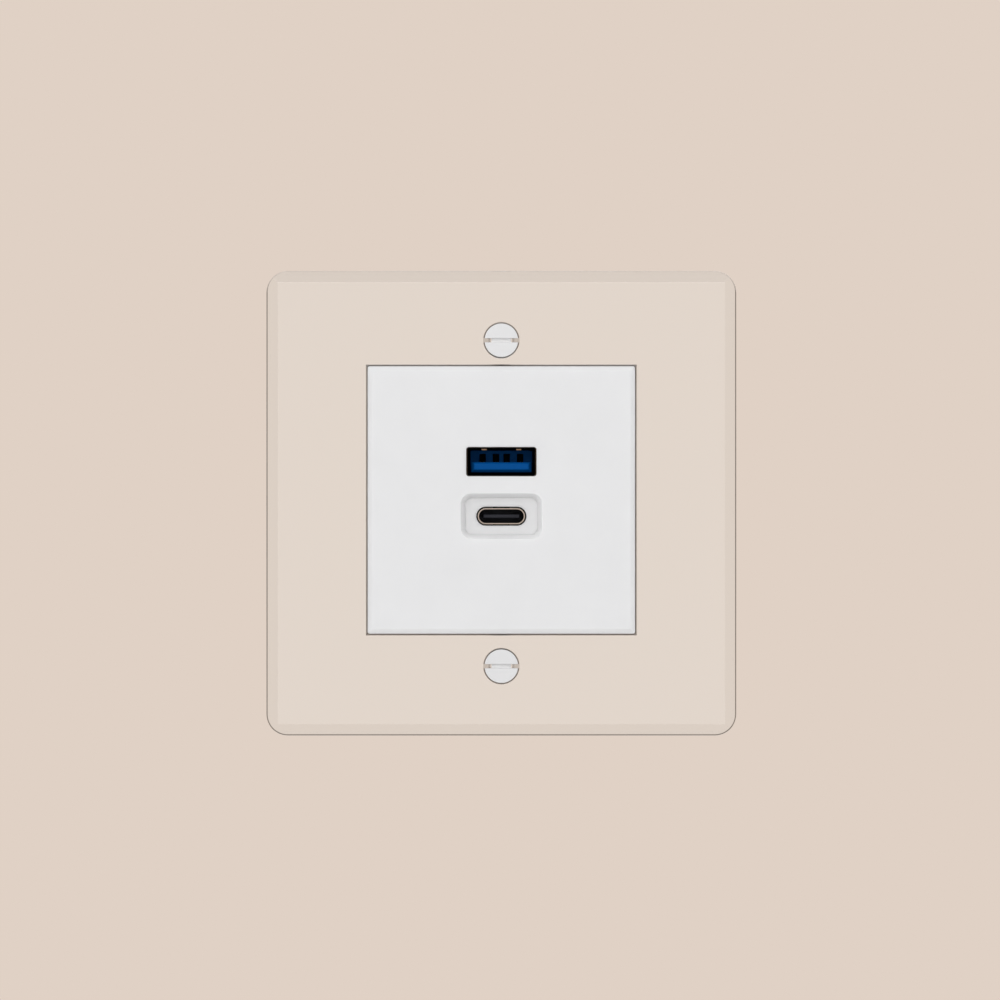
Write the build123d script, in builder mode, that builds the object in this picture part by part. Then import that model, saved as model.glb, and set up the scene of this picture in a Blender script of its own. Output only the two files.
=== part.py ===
"""A flush USB wall socket: a clear plate, a clip-in charger module and its two ports.

X runs to the right, Z up and Y into the wall. The wall plane is Y = 0, and the origin lies on it
midway between the two fixing screws. The module sits a little above it, as it does in the plate.
All sizes are in millimetres.
"""

import os
from math import radians, tan

from build123d import *

os.makedirs("parts", exist_ok=True)

# Clear plate
plate_width = 87.0
plate_height = 86.0
plate_thickness = 4.0
plate_corner_radius = 4.0
plate_bevel_width = 2.1
plate_bevel_depth = 1.2
aperture = 50.0
aperture_corner_radius = 0.6
rail_thickness = 1.6
rail_overhang = 1.8
rail_side_overhang = 0.8

# Fixing screws
fixing_spacing = 60.3
thread_diameter = 3.5
neck_diameter = 3.1
screw_hole_clearance = 0.25
screw_head_diameter = 6.3
screw_head_gap = 0.2
countersink_angle = 90.0
screw_length = 25.0
thread_start = 0.2
tip_chamfer = 0.5
driver_slot_width = 0.74
driver_slot_depth = 1.25

# Module bezel
module_rise = 0.6
module_gap = 0.25
bezel_proud = 0.4
bezel_wall = 2.0
bezel_corner_radius = 0.4
face_bevel_width = 0.9
face_bevel_depth = 0.3
skirt_rail_gap = 0.2
skirt_wall = 1.6
skirt_end = 7.0
skirt_corner_radius = 2.0
latch_width = 10.0
latch_slit = 1.0
latch_catch = 1.2
latch_gap = 0.15
latch_ramp = 3.0
latch_tip = 0.4
snap_width = 6.0
snap_length = 2.2
snap_catch = 0.9
snap_gap = 0.15
snap_rim = 1.2

# USB-A port
usb_a_height_above_centre = 7.1
usb_a_opening_width = 13.0
usb_a_opening_height = 5.4
usb_a_opening_radius = 0.5
usb_a_sunk = 1.0
usb_a_depth = 13.7
usb_a_shell_width = 12.5
usb_a_shell_height = 5.12
usb_a_shell_radius = 0.5
usb_a_cavity = 9.0
usb_a_tongue_side_gap = 0.7
usb_a_tongue_thickness = 1.84
usb_a_tongue_floor_gap = 0.6
usb_a_tongue_setback = 1.0
usb_a_tongue_lead_in = 0.5
usb_a_tongue_lead_length = 0.9
usb_a_tongue_top_lead_in = 0.3
usb_a_block_side_gap = 0.5
usb_a_block_top_gap = 0.45
usb_a_flange = 1.0
usb_a_contact_offsets = (-3.5, -1.0, 1.0, 3.5)
usb_a_contact_width = 1.0
usb_a_contact_thickness = 0.3
usb_a_contact_setback = 1.0
usb_a_contact_crown = 0.08
usb_a_contact_crown_length = 2.4
usb_a_slot_width = 1.2
usb_a_slot_height = 1.6
usb_a_slot_depth = 3.0
usb_a_spring_offset = 3.2
usb_a_spring_width = 1.0
usb_a_spring_length = 6.0
usb_a_spring_setback = 1.2
usb_a_spring_reach = 0.45
spring_window_margin = 0.45
shell_sheet = 0.3
shell_pocket_gap = 0.1
shell_leg_width = 1.6
shell_leg_spacing = 3.0
insulator_fit = 0.03

# USB-C port and its recess
usb_c_drop_below_centre = 3.0
usb_c_shell_width = 8.34
usb_c_shell_height = 2.56
usb_c_sheet = 0.2
usb_c_hole_gap = 0.27
usb_c_proud = 0.1
usb_c_cavity = 6.2
usb_c_tongue_width = 6.7
usb_c_tongue_thickness = 0.7
usb_c_tongue_setback = 1.3
usb_c_tongue_chamfer = 0.12
usb_c_contact_count = 12
usb_c_contact_pitch = 0.5
usb_c_contact_width = 0.26
usb_c_contact_thickness = 0.1
usb_c_contact_setback = 0.6
usb_c_leg_spacing = 5.0
recess_width = 15.0
recess_height = 8.4
recess_radius = 1.9
recess_floor_width = 13.4
recess_floor_height = 6.8
recess_floor_radius = 1.3
recess_depth = 2.2
recess_wall = 1.2

# Rear housing and board
housing_fit = 0.15
housing_overlap = 5.0
housing_wall = 1.6
housing_corner_radius = 2.0
housing_edge_bevel = 1.0
housing_rear_gap = 0.2
board_fit = 0.2
board_thickness = 1.6
board_corner_radius = 1.0
post_inset = 2.6
post_width = 3.6
tail_trim = 0.2
lead_side = 0.6
lead_clearance = 0.12

# Mains terminals
terminal_pitch = 10.0
terminal_block_fit = 0.2
terminal_block_wall = 1.2
terminal_block_floor = 1.0
clamp_depth = 6.0
clamp_wall = 0.9
clamp_nut_wall = 1.6
clamp_clearance = 0.15
clamp_travel = 2.5
wire_gap = 3.0
terminal_plate_width = 4.2
terminal_plate_thickness = 1.0
terminal_plate_clearance = 0.2
terminal_tail_width = 1.6
terminal_thread_diameter = 3.0
terminal_thread_clearance = 0.06
terminal_head_diameter = 5.0
terminal_head_height = 2.0
terminal_head_clearance = 0.15
terminal_head_sunk = 0.45
terminal_screw_end_gap = 0.05
terminal_shoulder = 1.2
driver_hole_diameter = 5.5
wire_entry_width = 3.8
wire_entry_depth = 3.0
wire_entry_funnel = 0.7

# Power parts on the board
part_spacing = 1.0
transformer_standoff = 1.0
core_width = 16.0
core_height = 12.4
core_depth = 5.0
core_centre_leg = 4.0
core_outer_leg = 2.2
core_yoke = 2.2
bobbin_wall = 0.7
bobbin_flange = 0.8
bobbin_depth = 14.0
bobbin_fit = 0.1
bobbin_rail_width = 3.5
transformer_pins = 4
transformer_pin_pitch = 2.5
winding_depth = 12.0
winding_radius = 3.0
bulk_capacitor_diameter = 8.0
bulk_capacitor_height = 12.0
bulk_capacitor_pitch = 3.5
output_capacitor_diameter = 6.3
output_capacitor_height = 8.0
output_capacitor_pitch = 2.5
choke_diameter = 8.0
choke_height = 9.0
choke_waist_diameter = 4.0
choke_flange = 1.4
choke_pitch = 5.0
choke_winding_inset = 0.5
fuse_diameter = 8.4
fuse_height = 7.6
fuse_pitch = 5.0
disc_diameter = 7.0
disc_thickness = 3.4
disc_standoff = 1.0
disc_pitch = 5.0
bridge_width = 6.4
bridge_length = 5.0
bridge_height = 2.4
bridge_leg_count = 2
optocoupler_width = 6.4
optocoupler_length = 4.6
optocoupler_height = 2.2
optocoupler_leg_count = 2
controller_width = 4.0
controller_length = 5.0
controller_height = 1.6
controller_leg_count = 4
chip_wall_taper = 7.0
chip_leg_width = 0.5
chip_leg_thickness = 0.25
chip_leg_reach = 1.0

# Depths along Y, from the face of the module to the back of the housing
bezel_size = aperture - 2 * module_gap
bezel_front = -plate_thickness - bezel_proud
bezel_inside = bezel_front + bezel_wall
flange_thickness = -rail_thickness - bezel_front
usb_a_pocket = bezel_front + usb_a_sunk
usb_a_mouth = usb_a_pocket + shell_pocket_gap
usb_a_rear_wall = usb_a_mouth + usb_a_cavity
recess_floor = bezel_front + recess_depth
usb_c_mouth = recess_floor - usb_c_proud
usb_c_rear_wall = usb_c_mouth + usb_c_cavity
board_front = usb_a_mouth + usb_a_depth
board_back = board_front + board_thickness
tail_end = board_front + tail_trim
lead_hole = lead_side + 2 * lead_clearance
chamber_front = board_back + terminal_block_floor
clamp_front = chamber_front + clamp_clearance
terminal_plate_front = clamp_front + clamp_wall + wire_gap
terminal_plate_rear = terminal_plate_front + terminal_plate_thickness
clamp_rear = terminal_plate_rear + clamp_clearance + clamp_nut_wall
chamber_rear = clamp_rear + clamp_travel + clamp_clearance
terminal_head_seat = chamber_rear + terminal_shoulder
terminal_head_front = terminal_head_seat + terminal_screw_end_gap
terminal_head_rear = terminal_head_front + terminal_head_height
terminal_block_rear = terminal_head_rear + terminal_head_sunk
core_front = board_back + transformer_standoff
core_rear = core_front + core_height
tallest_on_board = max(
    terminal_block_rear,
    core_rear,
    board_back + bulk_capacitor_height,
    board_back + choke_height,
    board_back + fuse_height,
    board_back + disc_standoff + disc_diameter,
)
housing_inside_rear = tallest_on_board + housing_rear_gap
housing_rear = housing_inside_rear + housing_wall

# Widths and heights that follow from the aperture
skirt_width = aperture - 2 * (rail_side_overhang + skirt_rail_gap)
skirt_height = aperture - 2 * (rail_overhang + skirt_rail_gap)
skirt_inside_width = skirt_width - 2 * skirt_wall
skirt_inside_height = skirt_height - 2 * skirt_wall
housing_width = skirt_inside_width - 2 * housing_fit
housing_height = skirt_inside_height - 2 * housing_fit
housing_front = skirt_end - housing_overlap
housing_inside_width = housing_width - 2 * housing_wall
housing_inside_height = housing_height - 2 * housing_wall
board_width = housing_inside_width - 2 * board_fit
board_height = housing_inside_height - 2 * board_fit
post_x = board_width / 2 - post_inset
post_z = board_height / 2 - post_inset

# Port positions, from the module's centre
usb_a_z = usb_a_height_above_centre
usb_c_z = -usb_c_drop_below_centre
usb_a_outer_width = usb_a_shell_width + 2 * shell_sheet
usb_a_outer_height = usb_a_shell_height + 2 * shell_sheet
usb_a_tongue_width = usb_a_shell_width - 2 * usb_a_tongue_side_gap
usb_a_block_width = usb_a_shell_width - 2 * usb_a_block_side_gap
usb_c_outer_width = usb_c_shell_width + 2 * usb_c_sheet
usb_c_outer_height = usb_c_shell_height + 2 * usb_c_sheet
usb_a_tongue_bottom = usb_a_z - usb_a_shell_height / 2 + usb_a_tongue_floor_gap
usb_a_tongue_top = usb_a_tongue_bottom + usb_a_tongue_thickness
usb_a_contact_z = usb_a_tongue_top - usb_a_contact_thickness / 2
usb_a_contact_tip = usb_a_mouth + usb_a_tongue_setback + usb_a_contact_setback
usb_a_block_top = usb_a_z + usb_a_shell_height / 2 - usb_a_block_top_gap
usb_c_contact_row = (usb_c_tongue_thickness - usb_c_contact_thickness) / 2
usb_c_contact_length = usb_c_cavity - usb_c_tongue_setback - usb_c_contact_setback

# Terminal positions, from the module's centre
terminal_xs = {"line": terminal_pitch / 2, "neutral": -terminal_pitch / 2}
terminal_block_bottom = terminal_block_fit - housing_inside_height / 2
clamp_bottom = terminal_block_bottom + terminal_block_wall
terminal_z = clamp_bottom + clamp_depth / 2
chamber_top = clamp_bottom + clamp_depth + clamp_clearance
terminal_block_top = chamber_top + terminal_block_wall
clamp_inside_width = terminal_plate_width + 2 * terminal_plate_clearance
clamp_width = clamp_inside_width + 2 * clamp_wall
chamber_width = clamp_width + 2 * clamp_clearance
terminal_block_width = terminal_pitch + chamber_width + 2 * terminal_block_wall
terminal_tail_z = terminal_block_top + part_spacing
wire_entry_y = clamp_front + clamp_wall + wire_gap / 2

# Power part positions, packed inwards from the board's edges
transformer_x = -board_width / 2 + part_spacing + core_width / 2
transformer_z = post_z - post_width / 2 - part_spacing - bobbin_depth / 2
spool_front = core_front + core_yoke + bobbin_fit
spool_rear = core_rear - core_yoke - bobbin_fit
bobbin_width = core_width - 2 * core_outer_leg - 2 * bobbin_fit
tube_inside_width = core_centre_leg + 2 * bobbin_fit
tube_inside_depth = core_depth + 2 * bobbin_fit
tube_width = tube_inside_width + 2 * bobbin_wall
tube_depth = tube_inside_depth + 2 * bobbin_wall
bobbin_rail_offset = bobbin_depth / 2 - bobbin_rail_width / 2
choke_x = board_width / 2 - 2 * part_spacing - choke_diameter / 2
choke_z = post_z - post_width / 2 - part_spacing - choke_diameter / 2
fuse_x = board_width / 2 - 2 * part_spacing - fuse_diameter / 2
fuse_z = choke_z - choke_diameter / 2 - part_spacing - fuse_diameter / 2
bulk_capacitor_x = fuse_x - fuse_diameter / 2 - part_spacing / 2 - bulk_capacitor_diameter / 2
bulk_capacitor_zs = (
    board_height / 2 - 2 * part_spacing - bulk_capacitor_diameter / 2,
    board_height / 2 - 3 * part_spacing - 1.5 * bulk_capacitor_diameter,
)
disc_z = terminal_block_top
varistor_x = terminal_block_width / 2 + part_spacing + disc_diameter / 2
suppression_capacitor_x = -varistor_x
output_capacitor_x = -usb_a_outer_width / 2 - 2 * part_spacing - output_capacitor_diameter / 2
output_capacitor_zs = (usb_a_z, usb_a_z - output_capacitor_diameter - part_spacing)
chip_x = usb_a_outer_width / 2 + 2 * part_spacing + output_capacitor_diameter / 2


def facing_plane(depth):
    """A sketch plane that faces the room, this far behind the wall plane, centred on the plate."""
    return Plane.XZ.offset(-depth)


def module_plane(depth):
    """A sketch plane that faces the room, this far behind the wall plane, centred on the module."""
    return Plane(origin=(0, depth, module_rise), x_dir=(1, 0, 0), z_dir=(0, -1, 0))


def side_plane(x):
    """A sketch plane across the module, with Y to its right and heights from the module's centre."""
    return Plane(origin=(x, 0, module_rise), x_dir=(0, 1, 0), z_dir=(1, 0, 0))


def level_plane(z):
    """A level sketch plane, this far above the module's centre."""
    return Plane.XY.offset(module_rise + z)


def turning_plane(x, z):
    """A plane for a half profile whose axis runs along Y through this point of the wall."""
    return Plane(origin=(x, 0, z), x_dir=(1, 0, 0), z_dir=(0, 0, 1))


def turning_axis(x, z):
    """The axis along Y through this point of the wall."""
    return Axis((x, 0, z), (0, 1, 0))


def lead_points(x, z, pitch):
    """The two lead positions of a part that stands here on the board."""
    return [(x - pitch / 2, z), (x + pitch / 2, z)]


# Clear plate: mitred bevels are cut on a sharp-cornered slab, then the corners are rounded through them
with BuildPart() as clear_plate:
    with BuildSketch(facing_plane(0)):
        Rectangle(plate_width, plate_height)
    extrude(amount=plate_thickness)
    plate_front = clear_plate.faces().sort_by(Axis.Y)[0]
    chamfer(plate_front.edges(), plate_bevel_width, plate_bevel_depth, reference=plate_front)
    with BuildSketch(facing_plane(0)):
        RectangleRounded(plate_width, plate_height, plate_corner_radius)
    extrude(amount=plate_thickness, mode=Mode.INTERSECT)
    # The aperture has a thin rail round the back of its edges, wide at top and bottom
    with BuildSketch(module_plane(-rail_thickness)):
        RectangleRounded(aperture, aperture, aperture_corner_radius)
    extrude(amount=plate_thickness - rail_thickness, mode=Mode.SUBTRACT)
    with BuildSketch(module_plane(0)):
        Rectangle(aperture - 2 * rail_side_overhang, aperture - 2 * rail_overhang)
    extrude(amount=rail_thickness, mode=Mode.SUBTRACT)
    with Locations(facing_plane(-plate_thickness)):
        with GridLocations(0, fixing_spacing, 1, 2):
            CounterSinkHole(
                radius=thread_diameter / 2 + screw_hole_clearance,
                counter_sink_radius=screw_head_diameter / 2 + screw_head_gap,
                counter_sink_angle=countersink_angle,
            )
clear_plate.part.label = "clear_plate"
export_step(clear_plate.part, "parts/clear_plate.step")

# Fixing screws: slotted countersunk heads on a plain neck, threaded behind the plate
with BuildPart() as plate_screws:
    head_front = -plate_thickness
    head_cone = (screw_head_diameter - neck_diameter) / 2 / tan(radians(countersink_angle / 2))
    screw_tip = head_front + screw_length
    with BuildSketch(turning_plane(0, fixing_spacing / 2)):
        with BuildLine():
            Polyline(
                (0, head_front),
                (screw_head_diameter / 2, head_front),
                (neck_diameter / 2, head_front + head_cone),
                (neck_diameter / 2, thread_start),
                (thread_diameter / 2, thread_start),
                (thread_diameter / 2, screw_tip - tip_chamfer),
                (thread_diameter / 2 - tip_chamfer, screw_tip),
                (0, screw_tip),
                close=True,
            )
        make_face()
    revolve(axis=turning_axis(0, fixing_spacing / 2))
    with BuildSketch(facing_plane(head_front)):
        with Locations((0, fixing_spacing / 2)):
            Rectangle(screw_head_diameter, driver_slot_width)
    extrude(amount=-driver_slot_depth, mode=Mode.SUBTRACT)
    mirror(about=Plane.XY)
plate_screws.part.label = "plate_screws"
export_step(plate_screws.part, "parts/plate_screws.step")

# Module bezel: a flange that stands on the rails, with a skirt that passes through the aperture
with BuildPart() as module_bezel:
    with BuildSketch(module_plane(-rail_thickness)):
        Rectangle(bezel_size, bezel_size)
    extrude(amount=flange_thickness)
    bezel_face = module_bezel.faces().sort_by(Axis.Y)[0]
    chamfer(bezel_face.edges(), face_bevel_width, face_bevel_depth, reference=bezel_face)
    with BuildSketch(module_plane(-rail_thickness)):
        RectangleRounded(bezel_size, bezel_size, bezel_corner_radius)
    extrude(amount=flange_thickness, mode=Mode.INTERSECT)
    with BuildSketch(module_plane(skirt_end)):
        RectangleRounded(skirt_width, skirt_height, skirt_corner_radius)
    extrude(amount=skirt_end + rail_thickness)
    with BuildSketch(module_plane(skirt_end)):
        RectangleRounded(skirt_inside_width, skirt_inside_height, skirt_corner_radius)
    extrude(amount=skirt_end - bezel_inside, mode=Mode.SUBTRACT)
    # Pad behind the recess, then the recess with its sloped walls and the oblong hole in its floor
    with BuildSketch(module_plane(recess_floor + recess_wall)):
        with Locations((0, usb_c_z)):
            Rectangle(recess_width, recess_height)
    extrude(amount=recess_floor + recess_wall - bezel_inside)
    with BuildSketch(module_plane(bezel_front)):
        with Locations((0, usb_c_z)):
            RectangleRounded(recess_width, recess_height, recess_radius)
    with BuildSketch(module_plane(recess_floor)):
        with Locations((0, usb_c_z)):
            RectangleRounded(recess_floor_width, recess_floor_height, recess_floor_radius)
    loft(ruled=True, mode=Mode.SUBTRACT)
    with BuildSketch(module_plane(recess_floor)):
        with Locations((0, usb_c_z)):
            SlotOverall(usb_c_outer_width + 2 * usb_c_hole_gap, usb_c_outer_height + 2 * usb_c_hole_gap)
    extrude(amount=-recess_wall, mode=Mode.SUBTRACT)
    # Upper port: an opening that just covers the shell's outer edge, and a pocket behind it
    with BuildSketch(module_plane(bezel_front)):
        with Locations((0, usb_a_z)):
            RectangleRounded(usb_a_opening_width, usb_a_opening_height, usb_a_opening_radius)
    extrude(amount=-bezel_wall, mode=Mode.SUBTRACT)
    with BuildSketch(module_plane(usb_a_pocket)):
        with Locations((0, usb_a_z)):
            RectangleRounded(
                usb_a_outer_width + 2 * shell_pocket_gap,
                usb_a_outer_height + 2 * shell_pocket_gap,
                usb_a_shell_radius + shell_pocket_gap,
            )
    extrude(amount=usb_a_pocket - bezel_inside, mode=Mode.SUBTRACT)
    # Posts that hold the board down
    with BuildSketch(module_plane(board_front)):
        with GridLocations(2 * post_x, 2 * post_z, 2, 2):
            Rectangle(post_width, post_width)
    extrude(amount=board_front - bezel_inside)
    # Latch arms: slit free of the skirt at top and bottom, with wedges that catch behind the plate
    for side in (1, -1):
        with BuildSketch(module_plane(skirt_end)):
            with Locations((0, side * (skirt_height - skirt_wall) / 2)):
                with GridLocations(latch_width + latch_slit, 0, 2, 1):
                    Rectangle(latch_slit, skirt_wall)
        extrude(amount=skirt_end, mode=Mode.SUBTRACT)
        with BuildSketch(side_plane(0)):
            with BuildLine():
                Polyline(
                    (latch_gap, side * (skirt_height / 2 - skirt_wall / 2)),
                    (latch_gap, side * (skirt_height / 2 + latch_catch)),
                    (latch_gap + latch_tip, side * (skirt_height / 2 + latch_catch)),
                    (latch_gap + latch_tip + latch_ramp, side * skirt_height / 2),
                    (latch_gap + latch_tip + latch_ramp, side * (skirt_height / 2 - skirt_wall / 2)),
                    close=True,
                )
            make_face()
        extrude(amount=latch_width / 2, both=True)
    # Windows in the skirt's left and right walls take the housing's snap wedges
    with BuildSketch(side_plane(0)):
        with Locations((skirt_end - snap_rim - snap_length / 2, 0)):
            Rectangle(snap_length, snap_width)
    extrude(amount=skirt_width / 2, both=True, mode=Mode.SUBTRACT)
module_bezel.part.label = "module_bezel"
export_step(module_bezel.part, "parts/module_bezel.step")

# Rear housing: a closed shell that plugs into the skirt, with driver holes and wire entries
with BuildPart() as rear_housing:
    with BuildSketch(module_plane(housing_rear)):
        RectangleRounded(housing_width, housing_height, housing_corner_radius)
    extrude(amount=housing_rear - housing_front)
    chamfer(rear_housing.faces().sort_by(Axis.Y)[-1].edges(), housing_edge_bevel)
    with BuildSketch(module_plane(housing_inside_rear)):
        Rectangle(housing_inside_width, housing_inside_height)
    extrude(amount=housing_inside_rear - housing_front, mode=Mode.SUBTRACT)
    with BuildSketch(module_plane(housing_inside_rear)):
        with GridLocations(2 * post_x, 2 * post_z, 2, 2):
            Rectangle(post_width, post_width)
    extrude(amount=housing_inside_rear - board_back)
    with BuildSketch(module_plane(housing_rear)):
        with Locations(*[(x, terminal_z) for x in terminal_xs.values()]):
            Circle(driver_hole_diameter / 2)
    extrude(amount=housing_wall, mode=Mode.SUBTRACT)
    # Wire entries widen outwards
    with BuildSketch(level_plane(-housing_height / 2)):
        with Locations(*[(x, wire_entry_y) for x in terminal_xs.values()]):
            Rectangle(wire_entry_width, wire_entry_depth)
    extrude(amount=housing_wall, mode=Mode.SUBTRACT)
    entry_rims = rear_housing.faces().sort_by(Axis.Z)[0].inner_wires().edges()
    chamfer(entry_rims, wire_entry_funnel)
    # Snap wedges on the left and right walls
    for side in (1, -1):
        with BuildSketch(level_plane(0)):
            with BuildLine():
                snap_rear = skirt_end - snap_rim - snap_gap
                snap_front = snap_rear - snap_length + 2 * snap_gap
                Polyline(
                    (side * (housing_width - housing_wall) / 2, snap_front),
                    (side * housing_width / 2, snap_front),
                    (side * (housing_width / 2 + snap_catch), snap_rear - latch_tip),
                    (side * (housing_width / 2 + snap_catch), snap_rear),
                    (side * (housing_width - housing_wall) / 2, snap_rear),
                    close=True,
                )
            make_face()
        extrude(amount=snap_width / 2 - snap_gap, both=True)
rear_housing.part.label = "rear_housing"
export_step(rear_housing.part, "parts/rear_housing.step")

# Power board, with a hole for every leg, pin and lead
with BuildPart() as power_board:
    with BuildSketch(module_plane(board_back)):
        RectangleRounded(board_width, board_height, board_corner_radius)
        with Locations((0, usb_a_z)):
            with GridLocations(usb_a_shell_width + shell_sheet, shell_leg_spacing, 2, 2):
                Rectangle(
                    shell_sheet + 2 * lead_clearance,
                    shell_leg_width + 2 * lead_clearance,
                    mode=Mode.SUBTRACT,
                )
        with Locations(*[(x, usb_a_contact_z) for x in usb_a_contact_offsets]):
            Rectangle(
                usb_a_contact_width + 2 * lead_clearance,
                usb_a_contact_thickness + 2 * lead_clearance,
                mode=Mode.SUBTRACT,
            )
        with Locations((0, usb_c_z)):
            with GridLocations(usb_c_leg_spacing, usb_c_shell_height + usb_c_sheet, 2, 2):
                Rectangle(
                    shell_leg_width + 2 * lead_clearance,
                    usb_c_sheet + 2 * lead_clearance,
                    mode=Mode.SUBTRACT,
                )
        with Locations(*[(x, terminal_tail_z) for x in terminal_xs.values()]):
            Rectangle(
                terminal_tail_width + 2 * lead_clearance,
                terminal_plate_thickness + 2 * lead_clearance,
                mode=Mode.SUBTRACT,
            )
        with Locations((transformer_x, transformer_z)):
            with GridLocations(transformer_pin_pitch, 2 * bobbin_rail_offset, transformer_pins, 2):
                Rectangle(lead_hole, lead_hole, mode=Mode.SUBTRACT)
        lead_pairs = (
            [(bulk_capacitor_x, z, bulk_capacitor_pitch) for z in bulk_capacitor_zs]
            + [(output_capacitor_x, z, output_capacitor_pitch) for z in output_capacitor_zs]
            + [(choke_x, choke_z, choke_pitch), (fuse_x, fuse_z, fuse_pitch)]
            + [(x, disc_z, disc_pitch) for x in (varistor_x, suppression_capacitor_x)]
        )
        for x, z, pitch in lead_pairs:
            with Locations(*lead_points(x, z, pitch)):
                Rectangle(lead_hole, lead_hole, mode=Mode.SUBTRACT)
    extrude(amount=board_thickness)
power_board.part.label = "power_board"
export_step(power_board.part, "parts/power_board.step")

# USB-A shell: a folded tube with four legs, and two spring fingers that dip into it from its top
with BuildPart() as usb_a_shell:
    with BuildSketch(module_plane(board_front)):
        with Locations((0, usb_a_z)):
            RectangleRounded(usb_a_outer_width, usb_a_outer_height, usb_a_shell_radius)
            RectangleRounded(
                usb_a_shell_width,
                usb_a_shell_height,
                usb_a_shell_radius - shell_sheet,
                mode=Mode.SUBTRACT,
            )
    extrude(amount=usb_a_depth)
    with BuildSketch(module_plane(board_front)):
        with Locations((0, usb_a_z)):
            with GridLocations(usb_a_shell_width + shell_sheet, shell_leg_spacing, 2, 2):
                Rectangle(shell_sheet, shell_leg_width)
    extrude(amount=tail_trim - board_thickness)
    spring_front = usb_a_mouth + usb_a_spring_setback
    spring_rear = spring_front + usb_a_spring_length
    finger_front = spring_front + spring_window_margin
    sheet_inside = usb_a_z + usb_a_shell_height / 2
    sheet_outside = sheet_inside + shell_sheet
    with BuildSketch(level_plane(usb_a_z)):
        with Locations((0, (spring_front + spring_rear) / 2)):
            with GridLocations(2 * usb_a_spring_offset, 0, 2, 1):
                Rectangle(usb_a_spring_width + 2 * spring_window_margin, usb_a_spring_length)
    extrude(amount=usb_a_outer_height / 2, mode=Mode.SUBTRACT)
    for x in (-usb_a_spring_offset, usb_a_spring_offset):
        with BuildSketch(side_plane(x)):
            with BuildLine():
                Polyline(
                    (spring_rear + shell_sheet, sheet_inside),
                    (spring_rear + shell_sheet, sheet_outside),
                    (spring_rear, sheet_outside),
                    (finger_front, sheet_outside - usb_a_spring_reach),
                    (finger_front, sheet_inside - usb_a_spring_reach),
                    (spring_rear, sheet_inside),
                    close=True,
                )
            make_face()
        extrude(amount=usb_a_spring_width / 2, both=True)
usb_a_shell.part.label = "usb_a_shell"
export_step(usb_a_shell.part, "parts/usb_a_shell.step")

# USB-A insulator: a flange that fills the shell, a block with blind slots, and the tongue in front
with BuildPart() as usb_a_insulator:
    with BuildSketch(module_plane(board_front)):
        with Locations((0, usb_a_z)):
            RectangleRounded(
                usb_a_shell_width - 2 * insulator_fit,
                usb_a_shell_height - 2 * insulator_fit,
                usb_a_shell_radius - shell_sheet,
            )
    extrude(amount=usb_a_flange)
    with BuildSketch(module_plane(board_front)):
        with Locations((0, (usb_a_block_top + usb_a_tongue_bottom) / 2)):
            Rectangle(usb_a_block_width, usb_a_block_top - usb_a_tongue_bottom)
    extrude(amount=board_front - usb_a_rear_wall)
    with BuildSketch(module_plane(usb_a_rear_wall)):
        with Locations((0, (usb_a_tongue_top + usb_a_tongue_bottom) / 2)):
            Rectangle(usb_a_tongue_width, usb_a_tongue_thickness)
    extrude(amount=usb_a_cavity - usb_a_tongue_setback)
    # Lead-in slopes on the tongue's tip: a small one on top, longer ones below and at the sides
    tongue_tip = usb_a_insulator.faces().sort_by(Axis.Y)[0]
    lower_edges = tongue_tip.edges().sort_by(Axis.Z)[:-1]
    chamfer(lower_edges, usb_a_tongue_lead_in, usb_a_tongue_lead_length, reference=tongue_tip)
    tongue_tip = usb_a_insulator.faces().sort_by(Axis.Y)[0]
    chamfer(tongue_tip.edges().sort_by(Axis.Z)[-1], usb_a_tongue_top_lead_in)
    with BuildSketch(module_plane(usb_a_rear_wall)):
        with Locations(*[(x, usb_a_tongue_top + usb_a_slot_height / 2) for x in usb_a_contact_offsets]):
            Rectangle(usb_a_slot_width, usb_a_slot_height)
    extrude(amount=-usb_a_slot_depth, mode=Mode.SUBTRACT)
    # Grooves along the tongue lead the contacts through the block to the board
    with BuildSketch(module_plane(board_front)):
        with Locations(*[(x, usb_a_contact_z) for x in usb_a_contact_offsets]):
            Rectangle(usb_a_slot_width, usb_a_contact_thickness)
    extrude(amount=board_front - usb_a_contact_tip, mode=Mode.SUBTRACT)
usb_a_insulator.part.label = "usb_a_insulator"
export_step(usb_a_insulator.part, "parts/usb_a_insulator.step")

# USB-A contacts: straight strips in the tongue's grooves, crowned where the plug wipes them
with BuildPart() as usb_a_contacts:
    contact_end = board_back - tail_trim
    crown_end = usb_a_contact_tip + usb_a_contact_crown_length
    for x in usb_a_contact_offsets:
        with BuildSketch(side_plane(x)):
            with BuildLine():
                ThreePointArc(
                    (usb_a_contact_tip, usb_a_tongue_top),
                    ((usb_a_contact_tip + crown_end) / 2, usb_a_tongue_top + usb_a_contact_crown),
                    (crown_end, usb_a_tongue_top),
                )
                Polyline(
                    (crown_end, usb_a_tongue_top),
                    (contact_end, usb_a_tongue_top),
                    (contact_end, usb_a_tongue_top - usb_a_contact_thickness),
                    (usb_a_contact_tip, usb_a_tongue_top - usb_a_contact_thickness),
                    (usb_a_contact_tip, usb_a_tongue_top),
                )
            make_face()
        extrude(amount=usb_a_contact_width / 2, both=True)
usb_a_contacts.part.label = "usb_a_contacts"
export_step(usb_a_contacts.part, "parts/usb_a_contacts.step")

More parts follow.
